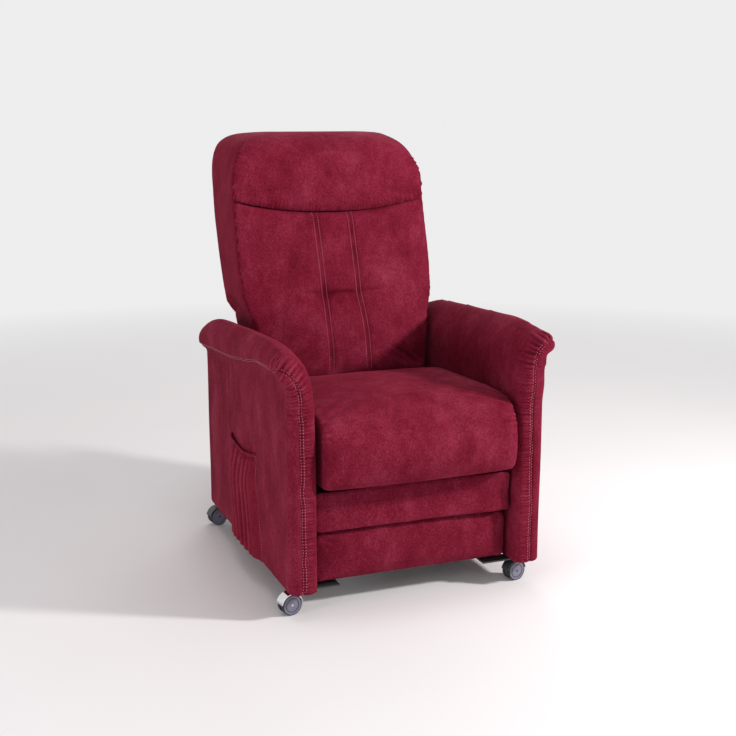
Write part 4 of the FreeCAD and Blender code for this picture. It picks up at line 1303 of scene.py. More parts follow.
@dataclass
class Arm:
    """One padded arm with its side panel, its roll and its gathered front."""
    side: Side
    inner: float = 260.0
    panel: float = 330.0
    roll: float = 354.5
    front: float = -394.0
    rear: float = 390.0
    hem: float = 64.0
    inner_round: float = 20.0
    outer_round: float = 23.0
    ear_round: float = 18.0
    rear_round: float = 14.0
    top_round: float = 30.0
    roll_round: float = 24.0
    set_back: float = 8.0
    voxel: float = 5.5
    refined: tuple[float, float] = (52.0, 46.0)

    def __post_init__(self) -> None:
        """Makes this side's tables smooth functions of the place along the arm."""
        self.shape = ARM_SHAPES[self.side]
        self.crest_at = smooth_table(self.shape.crest)
        self.under_at = smooth_table(self.shape.under)

    def ring(self, y: float) -> Points:
        """The arm's outline at one place along it, for the right side.

        Args:
            y: the place.

        Returns:
            (points, 3) round the arm, from the foot of its inner face over the top.
        """
        start, end = y - self.front, self.rear - y
        top = float(self.crest_at(y)) - 0.8 * drawn_in(self.top_round, end)
        low = float(self.under_at(y))
        back = drawn_in(self.rear_round, end)
        inner = self.inner + drawn_in(self.inner_round, start) + back
        outer = self.panel - drawn_in(self.outer_round, start) - back
        out = self.roll - drawn_in(self.ear_round, start) - drawn_in(self.roll_round, end)
        drop = self.shape.slope * (1 - float(ease(start, 0.0, 42.0)))
        steep = 1 + 0.25 * (1 - float(ease(start, 4.0, 60.0)))
        fit = min(1.0, (out - inner - 20.0) / 72.0)
        outline = [(inner, self.hem + 3), (inner, 200), (inner, 400)]
        for across, down in self.shape.shoulder:
            x = inner + across * fit
            outline.append((x, top - down * steep - drop * max(0.0, (out - 22 - x) / 70) ** 1.2))
        h = top - low
        for across, down in ((21, 0.06), (11, 0.16), (3, 0.34), (0, 0.55), (2, 0.78), (11, 0.93)):
            outline.append((out - across, top - down * h))
        outline += [(max(outer, out - 22), low), (outer, low - 0.08 * h - 6), (outer, 400),
                    (outer, 200), (outer, self.hem + 3), (outer - 3, self.hem),
                    (inner + 3, self.hem)]
        xz = np.array(outline, float)
        return np.column_stack([xz[:, 0], np.full(len(xz), y), xz[:, 1]])

    def build(self, wardrobe: Wardrobe, book: StitchBook) -> bpy.types.Object:
        """Makes the arm's cover, its seams, gathers and stitches.

        Args:
            wardrobe: the finishes.
            book: the stitches of its body.

        Returns:
            The piece.
        """
        suffix = self.side.name.lower()
        near = self.front + np.array([0, 0.8, 2, 3.6, 6, 9, 13, 18, 24, 32, 42])
        far = self.rear - np.array([30, 22, 15, 9, 5, 2, 0])
        places = np.concatenate([near, np.linspace(near[-1] + 12, far[0] - 12, 26), far])
        rings = np.array([self.ring(float(y)) for y in places])
        rings[:, :, 0] *= self.side.value
        obj = loft("arm_cover_" + suffix, rings)
        remesh(obj, self.voxel, 4)
        line = Line(self.shape.seam).flipped(self.side).laid(obj)
        mirror = self.side.value
        for reach in self.refined:
            refine(obj, lambda p: self.gathered(line, p, reach))
        sew = Sewing(obj)
        curl, turn, fade = (line.place((mirror * x, y, z))
                            for x, y, z in ((355, -300, 597), (298, -394, 590), (297, -394, 340)))
        sew.groove(line, 2.8, 4.2)

        def over(s: Points) -> Points:
            """Along the curl."""
            return ease(s, curl - 10, curl + 25) * (1 - ease(s, turn, turn + 50))

        def down(s: Points) -> Points:
            """Down the front."""
            return ease(s, turn - 20, turn + 30) * (1 - 0.35 * ease(s, turn + 70, fade))

        sew.gathers(line, mirror, Pleats(12.5, 6.6, 34.0, 11), over)
        sew.gathers(line, mirror, Pleats(8.6, 4.6, 28.0, 23), down)
        if self.side is Side.LEFT:
            sew.gathers(line, -mirror, Pleats(10.0, 4.6, 34.0, 37), lambda s: np.maximum(
                0.8 * over(s), down(s) * (1 - ease(s, turn + 60, turn + 130))))
        else:
            sew.gathers(line, -mirror, Pleats(9.0, 2.8, 22.0, 37),
                        lambda s: over(s) * ease(s, curl + 40, curl + 70))
        self._soften(sew, mirror)
        sew.done()
        for offset in (-3.6, 3.6):
            book.row(obj, line, offset)
        wardrobe.fit(obj, "cloth_main", "upholstery", "seat", "arm_" + suffix,
                     "arm_facing_" + suffix)
        return obj

    def gathered(self, line: Line, points: Points, reach: float) -> Points:
        """Which points lie near the seam's gathered part.

        Args:
            line: the seam.
            points: the points.
            reach: how far from it they count, less low down.

        Returns:
            Whether each of them does.
        """
        d, _, _ = line.measure(points, np.zeros_like(points))
        low = points[:, 2] < 330
        return (d < np.where(low, 0.6 * reach, reach)) & (points[:, 1] < -265)

    def _soften(self, sew: Sewing, mirror: int) -> None:
        """Adds the panel's vertical seam, soft creases and the roll's slack, with painted shade and
        highlight on them.

        Args:
            sew: the cover that is worked on.
            mirror: 1 for the right arm, -1 for the left one.
        """
        panel = Line([(mirror * self.panel, 136, z) for z in (528, 440, 346)])
        sew.groove(panel, 2.4, 3.6)
        p, n = sew.points, sew.normals
        outside = n[:, 0] * mirror
        roll = ease(p[:, 2], 545, 600) * ease(outside, -0.2, 0.4)
        # Painted highlight on the roll's bumps and painted shade between them.
        sew.push(1.3 * swell(p, 70, 5) * roll * ease(-p[:, 1], -330, -250), shade=0.12)
        inside = ease(-outside, 0.6, 0.9)
        sew.push(-1.1 * (0.6 + 0.5 * swell(p, 90, 9)) * inside * ease(p[:, 2], 300, 420))
        low = (1 - ease(p[:, 2], 470, 530)) * ease(-p[:, 1], 345, 384)
        sew.points[:, 1] += self.set_back * low
        side = ease(outside, 0.6, 0.9) * (1 - ease(p[:, 2], 500, 560))
        # Painted highlight and shade on the side's soft creases.
        sew.push(0.9 * swell(p * [1, 1.4, 0.5], 80, 15) * side, shade=0.15)


@dataclass
class SeatCushion:
    """The deep boxed seat cushion with its waterfall front."""
    limit: float = 258.3
    rear_limit: float = 79.5
    floor: float = 309.6
    front_floor: float = 306.5
    centre: tuple[float, float] = (-165.0, 402.0)
    profile: Table = ((66, 316), (-120, 314), (-300, 314), (-378, 312), (-398, 319), (-408, 342),
                      (-413, 380), (-412, 415), (-403, 446), (-385, 471), (-355, 487),
                      (-310, 496), (-240, 500), (-120, 499), (0, 494), (48, 489), (70, 478),
                      (76, 440), (76, 340))
    side_seam: Route = ((249, -392, 322), (251, -402, 400), (252, -396, 452), (252, -372, 486),
                        (252, -300, 492), (252, -100, 492), (250, 60, 484))
    corner_seam: Route = ((251, -402, 430), (252, -396, 455), (252, -372, 484), (252, -330, 490))
    half_hem: Route = ((246, -392, 322), (235, -404, 324), (120, -408, 322))
    filling: Stuffing = Stuffing(4.0, 22.0)

    def build(self, wardrobe: Wardrobe) -> bpy.types.Object:
        """Makes, fills and sews the cushion.

        Args:
            wardrobe: the finishes.

        Returns:
            The piece.
        """
        outline = np.array(self.profile, float)
        way = outline - self.centre
        way /= np.linalg.norm(way, axis=1, keepdims=True)
        ends = ((250, 17), (248, 9), (243, 4), (232, 0), (150, -3))
        rings = []
        for x, draw in (*((-x, draw) for x, draw in ends), (0, -5), *reversed(ends)):
            yz = outline - way * draw
            rings.append(np.column_stack([np.full(len(yz), x), yz]))
        obj = loft("seat_cushion_cover", np.array(rings, float))
        remesh(obj, 6.0, 6)

        def hold(p: Points) -> Points:
            """The underside and the rear are held, the edges half held.

            Args:
                p: the points.

            Returns:
                How firmly each of them is held.
            """
            under = 1 - ease(p[:, 2], 316, 324)
            behind = ease(p[:, 1], 56, 66)
            edge = 0.5 * ease(np.abs(p[:, 0]), 240, 246)
            return np.maximum(np.maximum(under, behind), edge)

        self.filling.fill(obj, hold)
        divide(obj)
        sew = Sewing(obj)
        for side in (-1, 1):
            seam, corner = (Line([(side * x, y, z) for x, y, z in points])
                            for points in (self.side_seam, self.corner_seam))
            sew.groove(seam, 2.4, 5.0)
            sew.gathers(corner, 0, Pleats(11.0, 2.6, 28.0, 51 + side))
        hem = Line([*((-x, y, z) for x, y, z in self.half_hem), (0, -409, 321),
                    *reversed(self.half_hem)])
        sew.groove(hem, 2.0, 4.5)
        for shift, depth in ((0, 3.2), (26, 1.8)):
            crease = Line([(-252, -396 + shift, 448 + shift), (-238, -404 + shift, 440 + shift),
                           (-216, -410, 437 + shift), (-192, -412, 441 + shift)])
            sew.groove(crease, depth, 5.5, 14.0)
        self._dent(sew)
        sew.done()
        wardrobe.fit(obj, "cloth_main", "upholstery", "seat", "seat_cushion")
        return obj

    def _dent(self, sew: Sewing) -> None:
        """Sits the cushion in a little, adds slack, and keeps it off its neighbours.

        Args:
            sew: the cover that is worked on.
        """
        p = sew.points
        top = ease(sew.normals[:, 2], 0.4, 0.9)
        front = ease(-sew.normals[:, 1], 0.4, 0.9)
        sew.push(2.2 * swell(p, 120, 61) * top + 1.5 * swell(p, 70, 63) * front)
        p = sew.points
        p[:, 0] = np.clip(p[:, 0], -self.limit, self.limit)
        p[:, 1] = np.minimum(p[:, 1], self.rear_limit)
        p[:, 2] = np.maximum(p[:, 2], np.where(p[:, 1] > -300, self.floor, self.front_floor))


@dataclass
class BackRest:
    """The tall back: head cushion, lower cushion with its channels, and the cover round them."""
    width: Table = ((460, 236), (491, 241), (539, 247), (584, 251), (620, 255), (650, 263),
                    (672, 273), (722, 279), (760, 280), (907, 279), (951, 278), (1009, 272),
                    (1052, 258), (1082, 240), (1098, 224), (1108, 207), (1114, 188), (1118, 158),
                    (1120, 120))
    behind: Table = ((460, 190), (491, 200), (539, 232), (584, 262), (620, 274), (650, 281),
                     (672, 284), (722, 286), (760, 286), (907, 284), (951, 283), (1009, 280),
                     (1052, 274), (1082, 263), (1098, 251), (1108, 236), (1114, 218), (1118, 186),
                     (1120, 140))
    border: Table = ((460, 131), (491, 136), (593, 154), (686, 178), (763, 200), (907, 226),
                     (1016, 245), (1049, 255), (1080, 276), (1095, 298), (1105, 324), (1110, 340),
                     (1118, 364), (1120, 370))
    rear: Table = ((474, 236), (500, 247), (560, 292), (616, 326), (663, 344), (742, 366),
                   (824, 385), (891, 409), (960, 424), (1042, 443), (1080, 442), (1100, 434),
                   (1112, 420), (1120, 396))
    crown: Table = ((460, 40), (491, 48), (520, 48), (560, 44), (640, 38), (720, 32), (860, 29),
                    (907, 31), (980, 34), (1049, 31), (1080, 35), (1095, 44), (1105, 54),
                    (1110, 57), (1117, 46), (1120, 20))
    pass_line: Table = ((40, 560), (68, 597), (200, 645), (291, 668), (319, 654), (340, 641),
                        (394, 590), (450, 540))
    channel_top: float = 50.0
    channel_low: float = 53.0
    end_round: float = 14.0
    lean: float = -4.0
    sway: float = -9.0
    seat_clear: float = 85.5
    seam_level: float = 906.0
    tuft_level: float = 690.0
    top: float = 1120.0
    filling: Stuffing = Stuffing(3.0, 16.0)

    def __post_init__(self) -> None:
        """Makes the tables smooth functions of the height."""
        self.half_front = smooth_table(self.width)
        self.half_behind = smooth_table(self.behind)
        self.border_at = smooth_table(self.border)
        self.rear_at = smooth_table(self.rear)
        self.crown_at = smooth_table(self.crown)

    def split(self, x: Points) -> Points:
        """The height of the head seam across the back."""
        return self.seam_level + 30 * (np.abs(np.asarray(x, float)) / 262) ** 2.2

    def channel(self, side: int) -> Line:
        """One sewn channel down the lower cushion.

        Args:
            side: 1 for the right one, -1 for the left one.

        Returns:
            Its line, on the centre line's face.
        """
        top, low = self.channel_top, self.channel_low
        return Line([(side * half + self.lean * shift, float(self.face(z)), z)
                     for z, half, shift in ((904, top, 1.0), (860, top, 1.0), (780, top, 1.0),
                                            (690, top, 0.8), (600, low, 0.4), (540, low, 0.1),
                                            (492, low + 1, 0.0))])

    def side_seam(self, side: int) -> Line:
        """The seam down one rear corner of the cover."""
        return Line([(side * (float(self.half_behind(z)) - 5), float(self.rear_at(z)) - 5, z)
                     for z in range(510, 1061, 50)])

    def face(self, z: Points) -> Points:
        """Where the front of the back is on its centre line."""
        return self.border_at(z) - self.crown_at(z)

    def rings(self, levels: Points) -> Points:
        """Outlines of the front cushions, from the border seam forwards.

        Args:
            levels: their heights.

        Returns:
            (levels, points, 3), each outline along the face and back along the wall.
        """
        t = np.linspace(-1, 1, 41)
        t = np.sin(t * math.pi / 2) * 0.35 + t * 0.65
        wall = np.linspace(0.94, -0.94, 21)
        out = []
        for z in levels:
            half = float(self.half_front(z)) - 1.0
            seam = float(self.border_at(z)) - 0.8
            crown = seam - float(self.face(z)) - 6.0
            y = seam - np.maximum(crown, 1.0) * (1 - np.abs(t) ** 3.4) ** 0.5
            front = np.column_stack([half * t, y, np.full(len(t), z)])
            tuck = seam + 15.0 * float(ease(z, 1072, 1098))
            rear = np.column_stack([half * wall, np.full(len(wall), tuck), np.full(len(wall), z)])
            out.append(np.vstack([front, rear]))
        return np.array(out)

    def clear_arms(self, points: Points) -> Points:
        """Keeps the lower sides inside the arms wherever they pass between them.

        Args:
            points: the skin.

        Returns:
            The points, drawn in and swayed.
        """
        spare = (np.where(points[:, 0] < 0, 16.0, 4.0) * ease(points[:, 1], 250, 290)
                 + np.where(points[:, 0] < 0, 8.0, 0.0) * ease(points[:, 1], 315, 335))
        over = points[:, 2] - table(self.pass_line)(points[:, 1]) + spare
        steep = table(((190, 1.1), (300, 0.62), (360, 0.7)))(points[:, 1])
        limit = 256.5 + steep * np.maximum(0.0, over) + 12 * ease(points[:, 1], 392, 410)
        out = points.copy()
        out[:, 0] = np.clip(points[:, 0], -limit, limit)
        return self.swayed(out)

    def swayed(self, points: Points) -> Points:
        """Sets the upper back a little to one side, as it was sewn.

        Args:
            points: the skin.

        Returns:
            The moved points.
        """
        out = points.copy()
        out[:, 0] += self.sway * ease(points[:, 2], 660, 960)
        return out

    def cushion(self, name: str, low: float, high: float, levels: Points) -> bpy.types.Object:
        """A front cushion with rounded ends.

        Args:
            name: the piece's name.
            low: where its lower end starts to be rounded.
            high: where its upper end does.
            levels: the heights of its outlines.

        Returns:
            The closed shape.
        """
        rings = self.rings(levels)
        for ring, z in zip(rings, levels):
            round_off = drawn_in(self.end_round, min(z - low, high - z))
            seam = ring[:, 1].max()
            depth = seam - ring[:, 1].min()
            if depth > 4:
                ring[:, 1] = seam - (seam - ring[:, 1]) * max(0.25, 1 - round_off / depth)
        return loft(name, rings)

    def build_lower(self, wardrobe: Wardrobe, book: StitchBook) -> bpy.types.Object:
        """Makes, fills, tufts and sews the lower cushion.

        Args:
            wardrobe: the finishes.
            book: the stitches of its body.

        Returns:
            The piece.
        """
        levels = np.concatenate([[463, 465, 469, 476, 486, 500], np.linspace(515, 880, 25),
                                 [889, 897, 903, 906]])
        obj = self.cushion("back_cushion_cover", 463, self.seam_level, levels)
        remesh(obj, 5.0, 5)
        self.filling.fill(obj, self.hold)
        divide(obj)
        points = read(obj)
        points[:, 2] += (self.split(points[:, 0]) - self.seam_level) * ease(points[:, 2], 700, 900)
        write(obj, points)
        sew = Sewing(obj)
        front = ease(-sew.normals[:, 1], 0.1, 0.5)
        for side in (-1, 1):
            sew.groove(self.channel(side), 3.4, 10.0)
        y, level, lean = float(self.face(self.tuft_level)), self.tuft_level, self.lean * 0.8
        for side in (-1, 1):
            sew.tuft((side * self.channel_top + lean, y, level), 14.0, 44.0, (0, 0.93, 0.0))
        inner = Line([(x + lean, y, level + 5 * (1 - (x / 50) ** 2))
                      for x in (-50, -25, 0, 25, 50)])
        sew.groove(inner, 6.0, 6.0)
        for side in (-1, 1):
            tail = Line([(side * x + lean, y, level + rise)
                         for x, rise in ((50, 0), (70, 3), (95, 6), (125, 7), (150, 6))])
            d, along, _ = tail.measure(sew.points, sew.normals)
            sew.push(-5.5 * np.exp(-(d / 6.5) ** 2) * (1 - ease(along, 20, 100)) * front)
        seam = Line([(x, float(self.face(900)), float(self.split(x)) - 2)
                     for x in np.linspace(-284, 284, 13)])
        sew.groove(seam, 2.5, 10.0, only=front, shade=0.0)
        sew.push((1.8 * swell(sew.points, 110, 71) + 0.9 * swell(sew.points, 45, 73)) * front)
        sew.points = self.clear_arms(sew.points)
        low = sew.points[:, 2] < 600
        sew.points[low, 1] = np.maximum(sew.points[low, 1], self.seat_clear)
        sew.done()
        for side in (-1, 1):
            for offset in (-6.6, 6.6):
                book.row(obj, self.channel(side).moved(self.swayed), offset, (0, 1, 0))
        wardrobe.fit(obj, "cloth_main", "upholstery", "back", "back_cushion")
        return obj

    def hold(self, p: Points) -> Points:
        """The wall that lies on the back is held, and the edge of the cloth beside it."""
        past = p[:, 1] - self.border_at(p[:, 2])
        return np.maximum(ease(past, -9, -3), 0.25 * ease(past, -20, -9))

    def build_head(self, wardrobe: Wardrobe) -> bpy.types.Object:
        """Makes, fills and gathers the head cushion.

        Args:
            wardrobe: the finishes.

        Returns:
            The piece.
        """
        levels = np.concatenate([[907.5, 909, 913, 919, 927], np.linspace(938, 1060, 9),
                                 [1070, 1079, 1087, 1094, 1099, 1104, 1108, 1111.5, 1114.5, 1117,
                                  1119, 1120]])
        obj = self.cushion("head_cushion_cover", 907.5, 1160, levels)
        remesh(obj, 5.0, 5)
        self.filling.fill(obj, self.hold)
        divide(obj)
        points = read(obj)
        rise = self.split(points[:, 0]) - self.seam_level
        points[:, 2] += rise * (1 - ease(points[:, 2], 915, 1090))
        past = points[:, 1] - self.border_at(np.minimum(points[:, 2], self.top))
        points[:, 2] -= 6.0 * ease(past, -7, 8) * ease(points[:, 2], 1085, 1100)
        write(obj, points)
        sew = Sewing(obj)
        front = ease(-sew.normals[:, 1], 0.1, 0.5)
        seam = Line([(x, float(self.face(907)) + 22 * abs(x / 284) ** 6, float(self.split(x)) + 1)
                     for x in np.linspace(-284, 284, 25)])
        sew.groove(seam, 3.0, 12.0, only=front, shade=0.0)

        def strength(s: Points) -> Points:
            """The gathers are strongest at the left third and the right end.

            Args:
                s: places along the seam.

            Returns:
                How strong they are at each place.
            """
            share = s / seam.along[-1]
            return (0.45 + 0.55 * np.exp(-((share - 0.22) / 0.14) ** 2)
                    + 0.6 * np.exp(-((share - 0.86) / 0.10) ** 2))

        sew.gathers(seam, 0, Pleats(13.0, 3.0, 26.0, 81), strength)
        sew.push((2.2 * swell(sew.points, 100, 83) + 0.8 * swell(sew.points, 40, 85)) * front)
        left = Line([(-278, 232, 940), (-276, 244, 1000), (-262, 254, 1045), (-240, 268, 1080)])
        sew.gathers(left, 0, Pleats(11.0, 1.4, 26.0, 87))
        sew.points = self.swayed(sew.points)
        sew.done()
        wardrobe.fit(obj, "cloth_main", "upholstery", "back", "head_cushion")
        return obj

    def build_cover(self, wardrobe: Wardrobe, book: StitchBook) -> bpy.types.Object:
        """Makes the plain border and rear cover.

        Args:
            wardrobe: the finishes.
            book: the stitches of its body.

        Returns:
            The piece.
        """
        levels = np.concatenate([[487, 490, 496, 506], np.linspace(520, 1060, 40),
                                 [1070, 1080, 1089, 1096, 1102, 1107, 1111, 1114.5, 1117, 1118.8,
                                  1120]])
        out = []
        for z in levels:
            half = float(self.half_behind(z))
            near = min(float(self.half_front(z)), half)
            front = float(self.border_at(z)) + 0.4
            rear = float(self.rear_at(z))
            turn = min(18.0, half * 0.3, (rear - front) * 0.4)
            corner = [(half - turn + turn * math.sin(a), rear - turn + turn * math.cos(a))
                      for a in np.linspace(math.pi / 2, 0, 8)]
            right = [(near + (half - near) * s ** 0.7, front + (rear - turn - front) * s)
                     for s in (0, 0.25, 0.5, 0.75)] + corner
            outline = [(near * s, front) for s in (-0.6, -0.3, 0, 0.3, 0.6)] + right
            outline += [(-x, y) for x, y in reversed(right)]
            out.append([(x, y, z) for x, y in outline])
        obj = loft("back_cover", np.array(out))
        remesh(obj, 5.0, 4)
        sew = Sewing(obj)
        p, n = sew.points, sew.normals
        sew.push(1.6 * ease(np.abs(n[:, 0]), 0.5, 0.9) * swell(p, 120, 91))
        sew.push((2.0 * swell(p, 150, 93) - 2.0) * ease(n[:, 1], 0.4, 0.9))
        for side in (-1, 1):
            sew.groove(self.side_seam(side), 1.8, 4.0)
        base = Line([(x, float(self.rear_at(540)), 540) for x in (-190, -60, 60, 190)])
        sew.groove(base, 1.4, 3.5)
        sew.points = self.clear_arms(sew.points)
        sew.done()
        for side in (-1, 1):
            book.row(obj, self.side_seam(side).moved(self.swayed), 4.5 * side)
        book.row(obj, base, 4.0)
        wardrobe.fit(obj, "cloth_border", "piping", "back", "back_shell")
        return obj


@dataclass
class FootPadding:
    """The footrest's panel and the soft flap over it."""
    filling: Stuffing = Stuffing(3.0, 9.0)

    def slab(self, name: str, half: float, low: float, high: float, front: float, back: float,
             corner: float, crown: float, top_corner: float) -> bpy.types.Object:
        """A thin upright pad with rounded corners and a crowned face.

        Args:
            name: the piece's name.
            half: half its width.
            low: its lower edge.
            high: its upper edge.
            front: its face, before the crown.
            back: its back.
            corner: the radius of its lower corners, and of its edge.
            crown: how far the face swells forwards.
            top_corner: the radius of its upper corners.

        Returns:
            The piece, evenly meshed.
        """
        rings = []
        depth = back - front
        for share, inset in ((0.0, corner), (0.12, corner * 0.45), (0.3, corner * 0.15),
                             (0.55, 0.0), (1.0, 0.0)):
            y = front + depth * share
            outline = []
            for cx, cz, radius, start in ((half, low, corner, -90), (half, high, top_corner, 0),
                                          (-half, high, top_corner, 90), (-half, low, corner, 180)):
                for a in np.radians(np.linspace(start, start + 90, 6)):
                    x = cx - math.copysign(radius, cx) + radius * math.cos(a)
                    z = (cz + radius if cz == low else cz - radius) + radius * math.sin(a)
                    outline.append((x, z))
            xz = np.array(outline)
            middle = np.array([0.0, (low + high) / 2])
            size = np.array([half, (high - low) / 2])
            xz = middle + (xz - middle) * (1 - inset / size)
            rings.append(np.column_stack([xz[:, 0], np.full(len(xz), y), xz[:, 1]]))
        obj = loft(name, np.array(rings))
        remesh(obj, 4.0, 3)
        points = read(obj)
        across = 1 - np.clip(np.abs(points[:, 0]) / half, 0, 1) ** 4
        tall = (high - low) / 2
        up = 1 - np.clip(np.abs(points[:, 2] - low - tall) / tall, 0, 1) ** 2.5
        forward = 1 - ease(points[:, 1], front + 1, front + 8)
        points[:, 1] -= crown * across * up * forward
        write(obj, points)
        return obj

    def build_panel(self, wardrobe: Wardrobe) -> bpy.types.Object:
        """Makes the footrest's lower panel.

        Args:
            wardrobe: the finishes.

        Returns:
            The piece.
        """
        obj = self.slab("footrest_cover", 252.5, 70.5, 196.0, -339.0, -321.4, 12.0, 3.0, 24.0)
        self.filling.fill(obj, lambda p: ease(p[:, 1], -332, -324))
        divide(obj)
        sew = Sewing(obj)
        face = ease(-sew.normals[:, 1], 0.4, 0.9)
        sew.push((1.1 * swell(sew.points, 80, 101) + 0.5 * swell(sew.points, 30, 103)) * face)
        sew.points[:, 1] = np.clip(sew.points[:, 1], -351.0, -321.2)
        sew.points[:, 2] = np.clip(sew.points[:, 2], 66.5, 200.0)
        sew.done()
        wardrobe.fit(obj, "cloth_main", "upholstery", "footrest", "footrest_pad")
        return obj

    def build_flap(self, wardrobe: Wardrobe) -> bpy.types.Object:
        """Makes the flap, whose free right end curls forwards.

        Args:
            wardrobe: the finishes.

        Returns:
            The piece.
        """
        obj = self.slab("flap_cover", 253.0, 199.0, 297.0, -341.5, -335.3, 8.0, 0.6, 12.0)
        divide(obj)
        sew = Sewing(obj)
        p = sew.points
        curl = ease(p[:, 0], 60, 246) ** 1.4
        height = (p[:, 2] - 199) / 98
        p[:, 1] -= 20.0 * curl * (0.35 + 0.65 * height)
        p[:, 2] += 5.0 * curl * height
        front = ease(-sew.normals[:, 1], 0.2, 0.6)
        p[:, 1] -= 8.5 * (1 - ease(p[:, 2], 199, 250)) * front
        hollow = np.exp(-((p[:, 2] - 262 - 30 * ease(p[:, 0], -100, 246)) / 17) ** 2)
        p[:, 1] += 2.5 * hollow * front * (1 - curl)
        face = ease(-sew.normals[:, 1], 0.4, 0.9)
        sew.push((1.4 * swell(p, 90, 111) + 0.7 * swell(p, 35, 113)) * face)
        sew.done()
        wardrobe.fit(obj, "cloth_main", "upholstery", "footrest", "footrest_flap")
        return obj


@dataclass
class RearPanel:
    """The upholstered panel between the arms behind."""
    half: float = 259.0
    low: float = 66.5
    high: float = 430.0
    face: float = 386.0
    back: float = 378.2

    def build(self, wardrobe: Wardrobe, book: StitchBook) -> bpy.types.Object:
        """Makes the panel with its hems.

        Args:
            wardrobe: the finishes.
            book: the stitches of its body.

        Returns:
            The piece.
        """
        pads = FootPadding()
        obj = pads.slab("rear_panel_cover", self.half, self.low, self.high, -self.face, -self.back,
                        3.0, 0.0, 3.0)
        points = read(obj)
        points[:, :2] *= -1
        write(obj, points)
        sew = Sewing(obj)
        face = ease(sew.normals[:, 1], 0.4, 0.9)
        sew.push((0.6 + 1.3 * swell(sew.points, 130, 121)) * face)
        hems = []
        for z in (self.high - 22, self.low + 22):
            hems.append(Line([(x, self.face, z) for x in (-252, -90, 90, 252)]))
            sew.groove(hems[-1], 1.3, 3.0)
        sew.done()
        for line in hems:
            book.row(obj, line, 3.4)
        wardrobe.fit(obj, "cloth_border", "piping", "seat", "rear_panel")
        return obj


@dataclass
class Pocket:
    """The gathered side pocket on the left panel."""
    panel: float = -330.4
    top: float = 341.0
    base: float = 68.0
    bulge: float = 16.5
    most: float = 22.5
    handset_room: float = 15.8
    folds: tuple[tuple[tuple[float, float], float, float], ...] = (
        ((0.16, 0.24), 5.5, 0.020), ((0.31, 0.33), 6.0, 0.024), ((0.46, 0.50), 6.5, 0.024),
        ((0.61, 0.66), 6.0, 0.022), ((0.77, 0.80), 4.5, 0.018))
    ruffles: int = 25
    ruffle_seed: int = 131
    thickness: float = 1.5
    cells: tuple[int, int] = (190, 110)
    flat: tuple[float, float] = (0.345, 0.285)

    def build(self, wardrobe: Wardrobe, book: StitchBook) -> bpy.types.Object:
        """Makes the pocket's cloth with its ruffled elastic mouth.

        Args:
            wardrobe: the finishes.
            book: the stitches of its body.

        Returns:
            The piece.
        """
        across, down = self.cells
        u, v = np.meshgrid(np.linspace(0, 1, across), np.linspace(0, 1, down))
        rear = 117 - 12 * v
        fore = -106 - 42 * ease(v, 0.0, 1.0) ** 1.3
        y = rear + (fore - rear) * u
        sag = 16 * np.sin(math.pi * np.clip(u, 0, 1)) ** 0.8
        z = self.top - sag * (1 - v) ** 2 + (self.base - self.top) * v
        edge = np.minimum(u, 1 - u)
        closed = np.sqrt(np.clip(1 - np.clip((v - 0.965) / 0.035, 0, 1) ** 2, 0, 1))
        open_by = 0.30 + 0.70 * ease(v, 0.02, 0.34)
        lift = ease(edge, 0.0, 0.12) * closed * open_by
        belly = self.bulge * lift
        painted_light_and_shade = np.zeros_like(u)
        for (start, end), depth, wide in self.folds:
            line = start + (end - start) * v + 0.012 * np.sin(5 * v + 30 * start)
            ridge = np.exp(-np.abs((u - line) / wide) ** 1.6)
            furrow = np.exp(-((u - line - 1.9 * wide) / (0.8 * wide)) ** 2)
            strong = (0.6 + 0.4 * (1 - v)) * ease(edge, 0.0, 0.05) * closed * ease(v, 0.03, 0.12)
            belly += 1.5 * depth * (0.75 * ridge - 0.8 * furrow) * strong
            # Painted highlight on the fold ridges and painted shade in the furrows.
            painted_light_and_shade += (1.3 * ridge - 1.2 * furrow) * strong
        wave = u * 2 * math.pi * self.ruffles + 2.2 * wander(u, 0.07, self.ruffle_seed)
        ruffle = np.sin(wave)
        mouth = np.exp(-(v / 0.045) ** 2)
        belly += 3.2 * (0.6 + ruffle) * mouth * ease(edge, 0, 0.03)
        z += 1.8 * np.cos(wave) * mouth
        # Painted highlight on the ruffles' crests and painted shade between them.
        painted_light_and_shade += 0.8 * ruffle * mouth
        band = np.exp(-((v - 0.055) / 0.018) ** 2)
        belly -= 2.4 * band * ease(edge, 0, 0.03)
        # Painted shade in the band under the mouth.
        painted_light_and_shade -= 0.6 * band
        control = ease(y, 8, 17) * (1 - ease(y, 63, 72)) * ease(-z, -232, -220)
        guard = self.handset_room * control * closed
        x = self.panel - 0.5 - np.clip(np.maximum(belly, guard), 0.0, self.most)
        points = np.column_stack([x.ravel(), y.ravel(), z.ravel()])
        faces = [(i, i + 1, i + across + 1, i + across)
                 for i in (r * across + c for r in range(down - 1) for c in range(across - 1))]
        obj = new_object("side_pocket_cloth", points, faces)
        # The painted shade and highlight go to the cloth as an attribute.
        attribute = obj.data.attributes.new("painted_light_and_shade", "FLOAT", "POINT")
        value_with_painted_light = np.clip(1.6 * painted_light_and_shade, -1.8, 1.8)
        attribute.data.foreach_set("value", value_with_painted_light.astype(np.float32).ravel())
        work = bmesh.new()
        work.from_mesh(obj.data)
        if sum(f.normal.x for f in work.faces) > 0:
            bmesh.ops.reverse_faces(work, faces=work.faces)
        work.to_mesh(obj.data)
        area = sum(f.calc_area() for f in work.faces)
        work.free()
        wall = obj.modifiers.new("wall", "SOLIDIFY")
        wall.thickness = self.thickness * MM
        wall.offset = -1.0
        settle(obj)
        LOG.info("pocket cloth area %.4f", area)
        for col, offset in ((0, 3.0), (across - 1, -3.0)):
            rows = np.arange(4, down, 4)
            book.row(obj, Line(points[rows * across + col]), offset)
        wardrobe.fit(obj, "cloth_border", "pocket_cloth", "seat", "side_pocket")
        return obj


# The studio

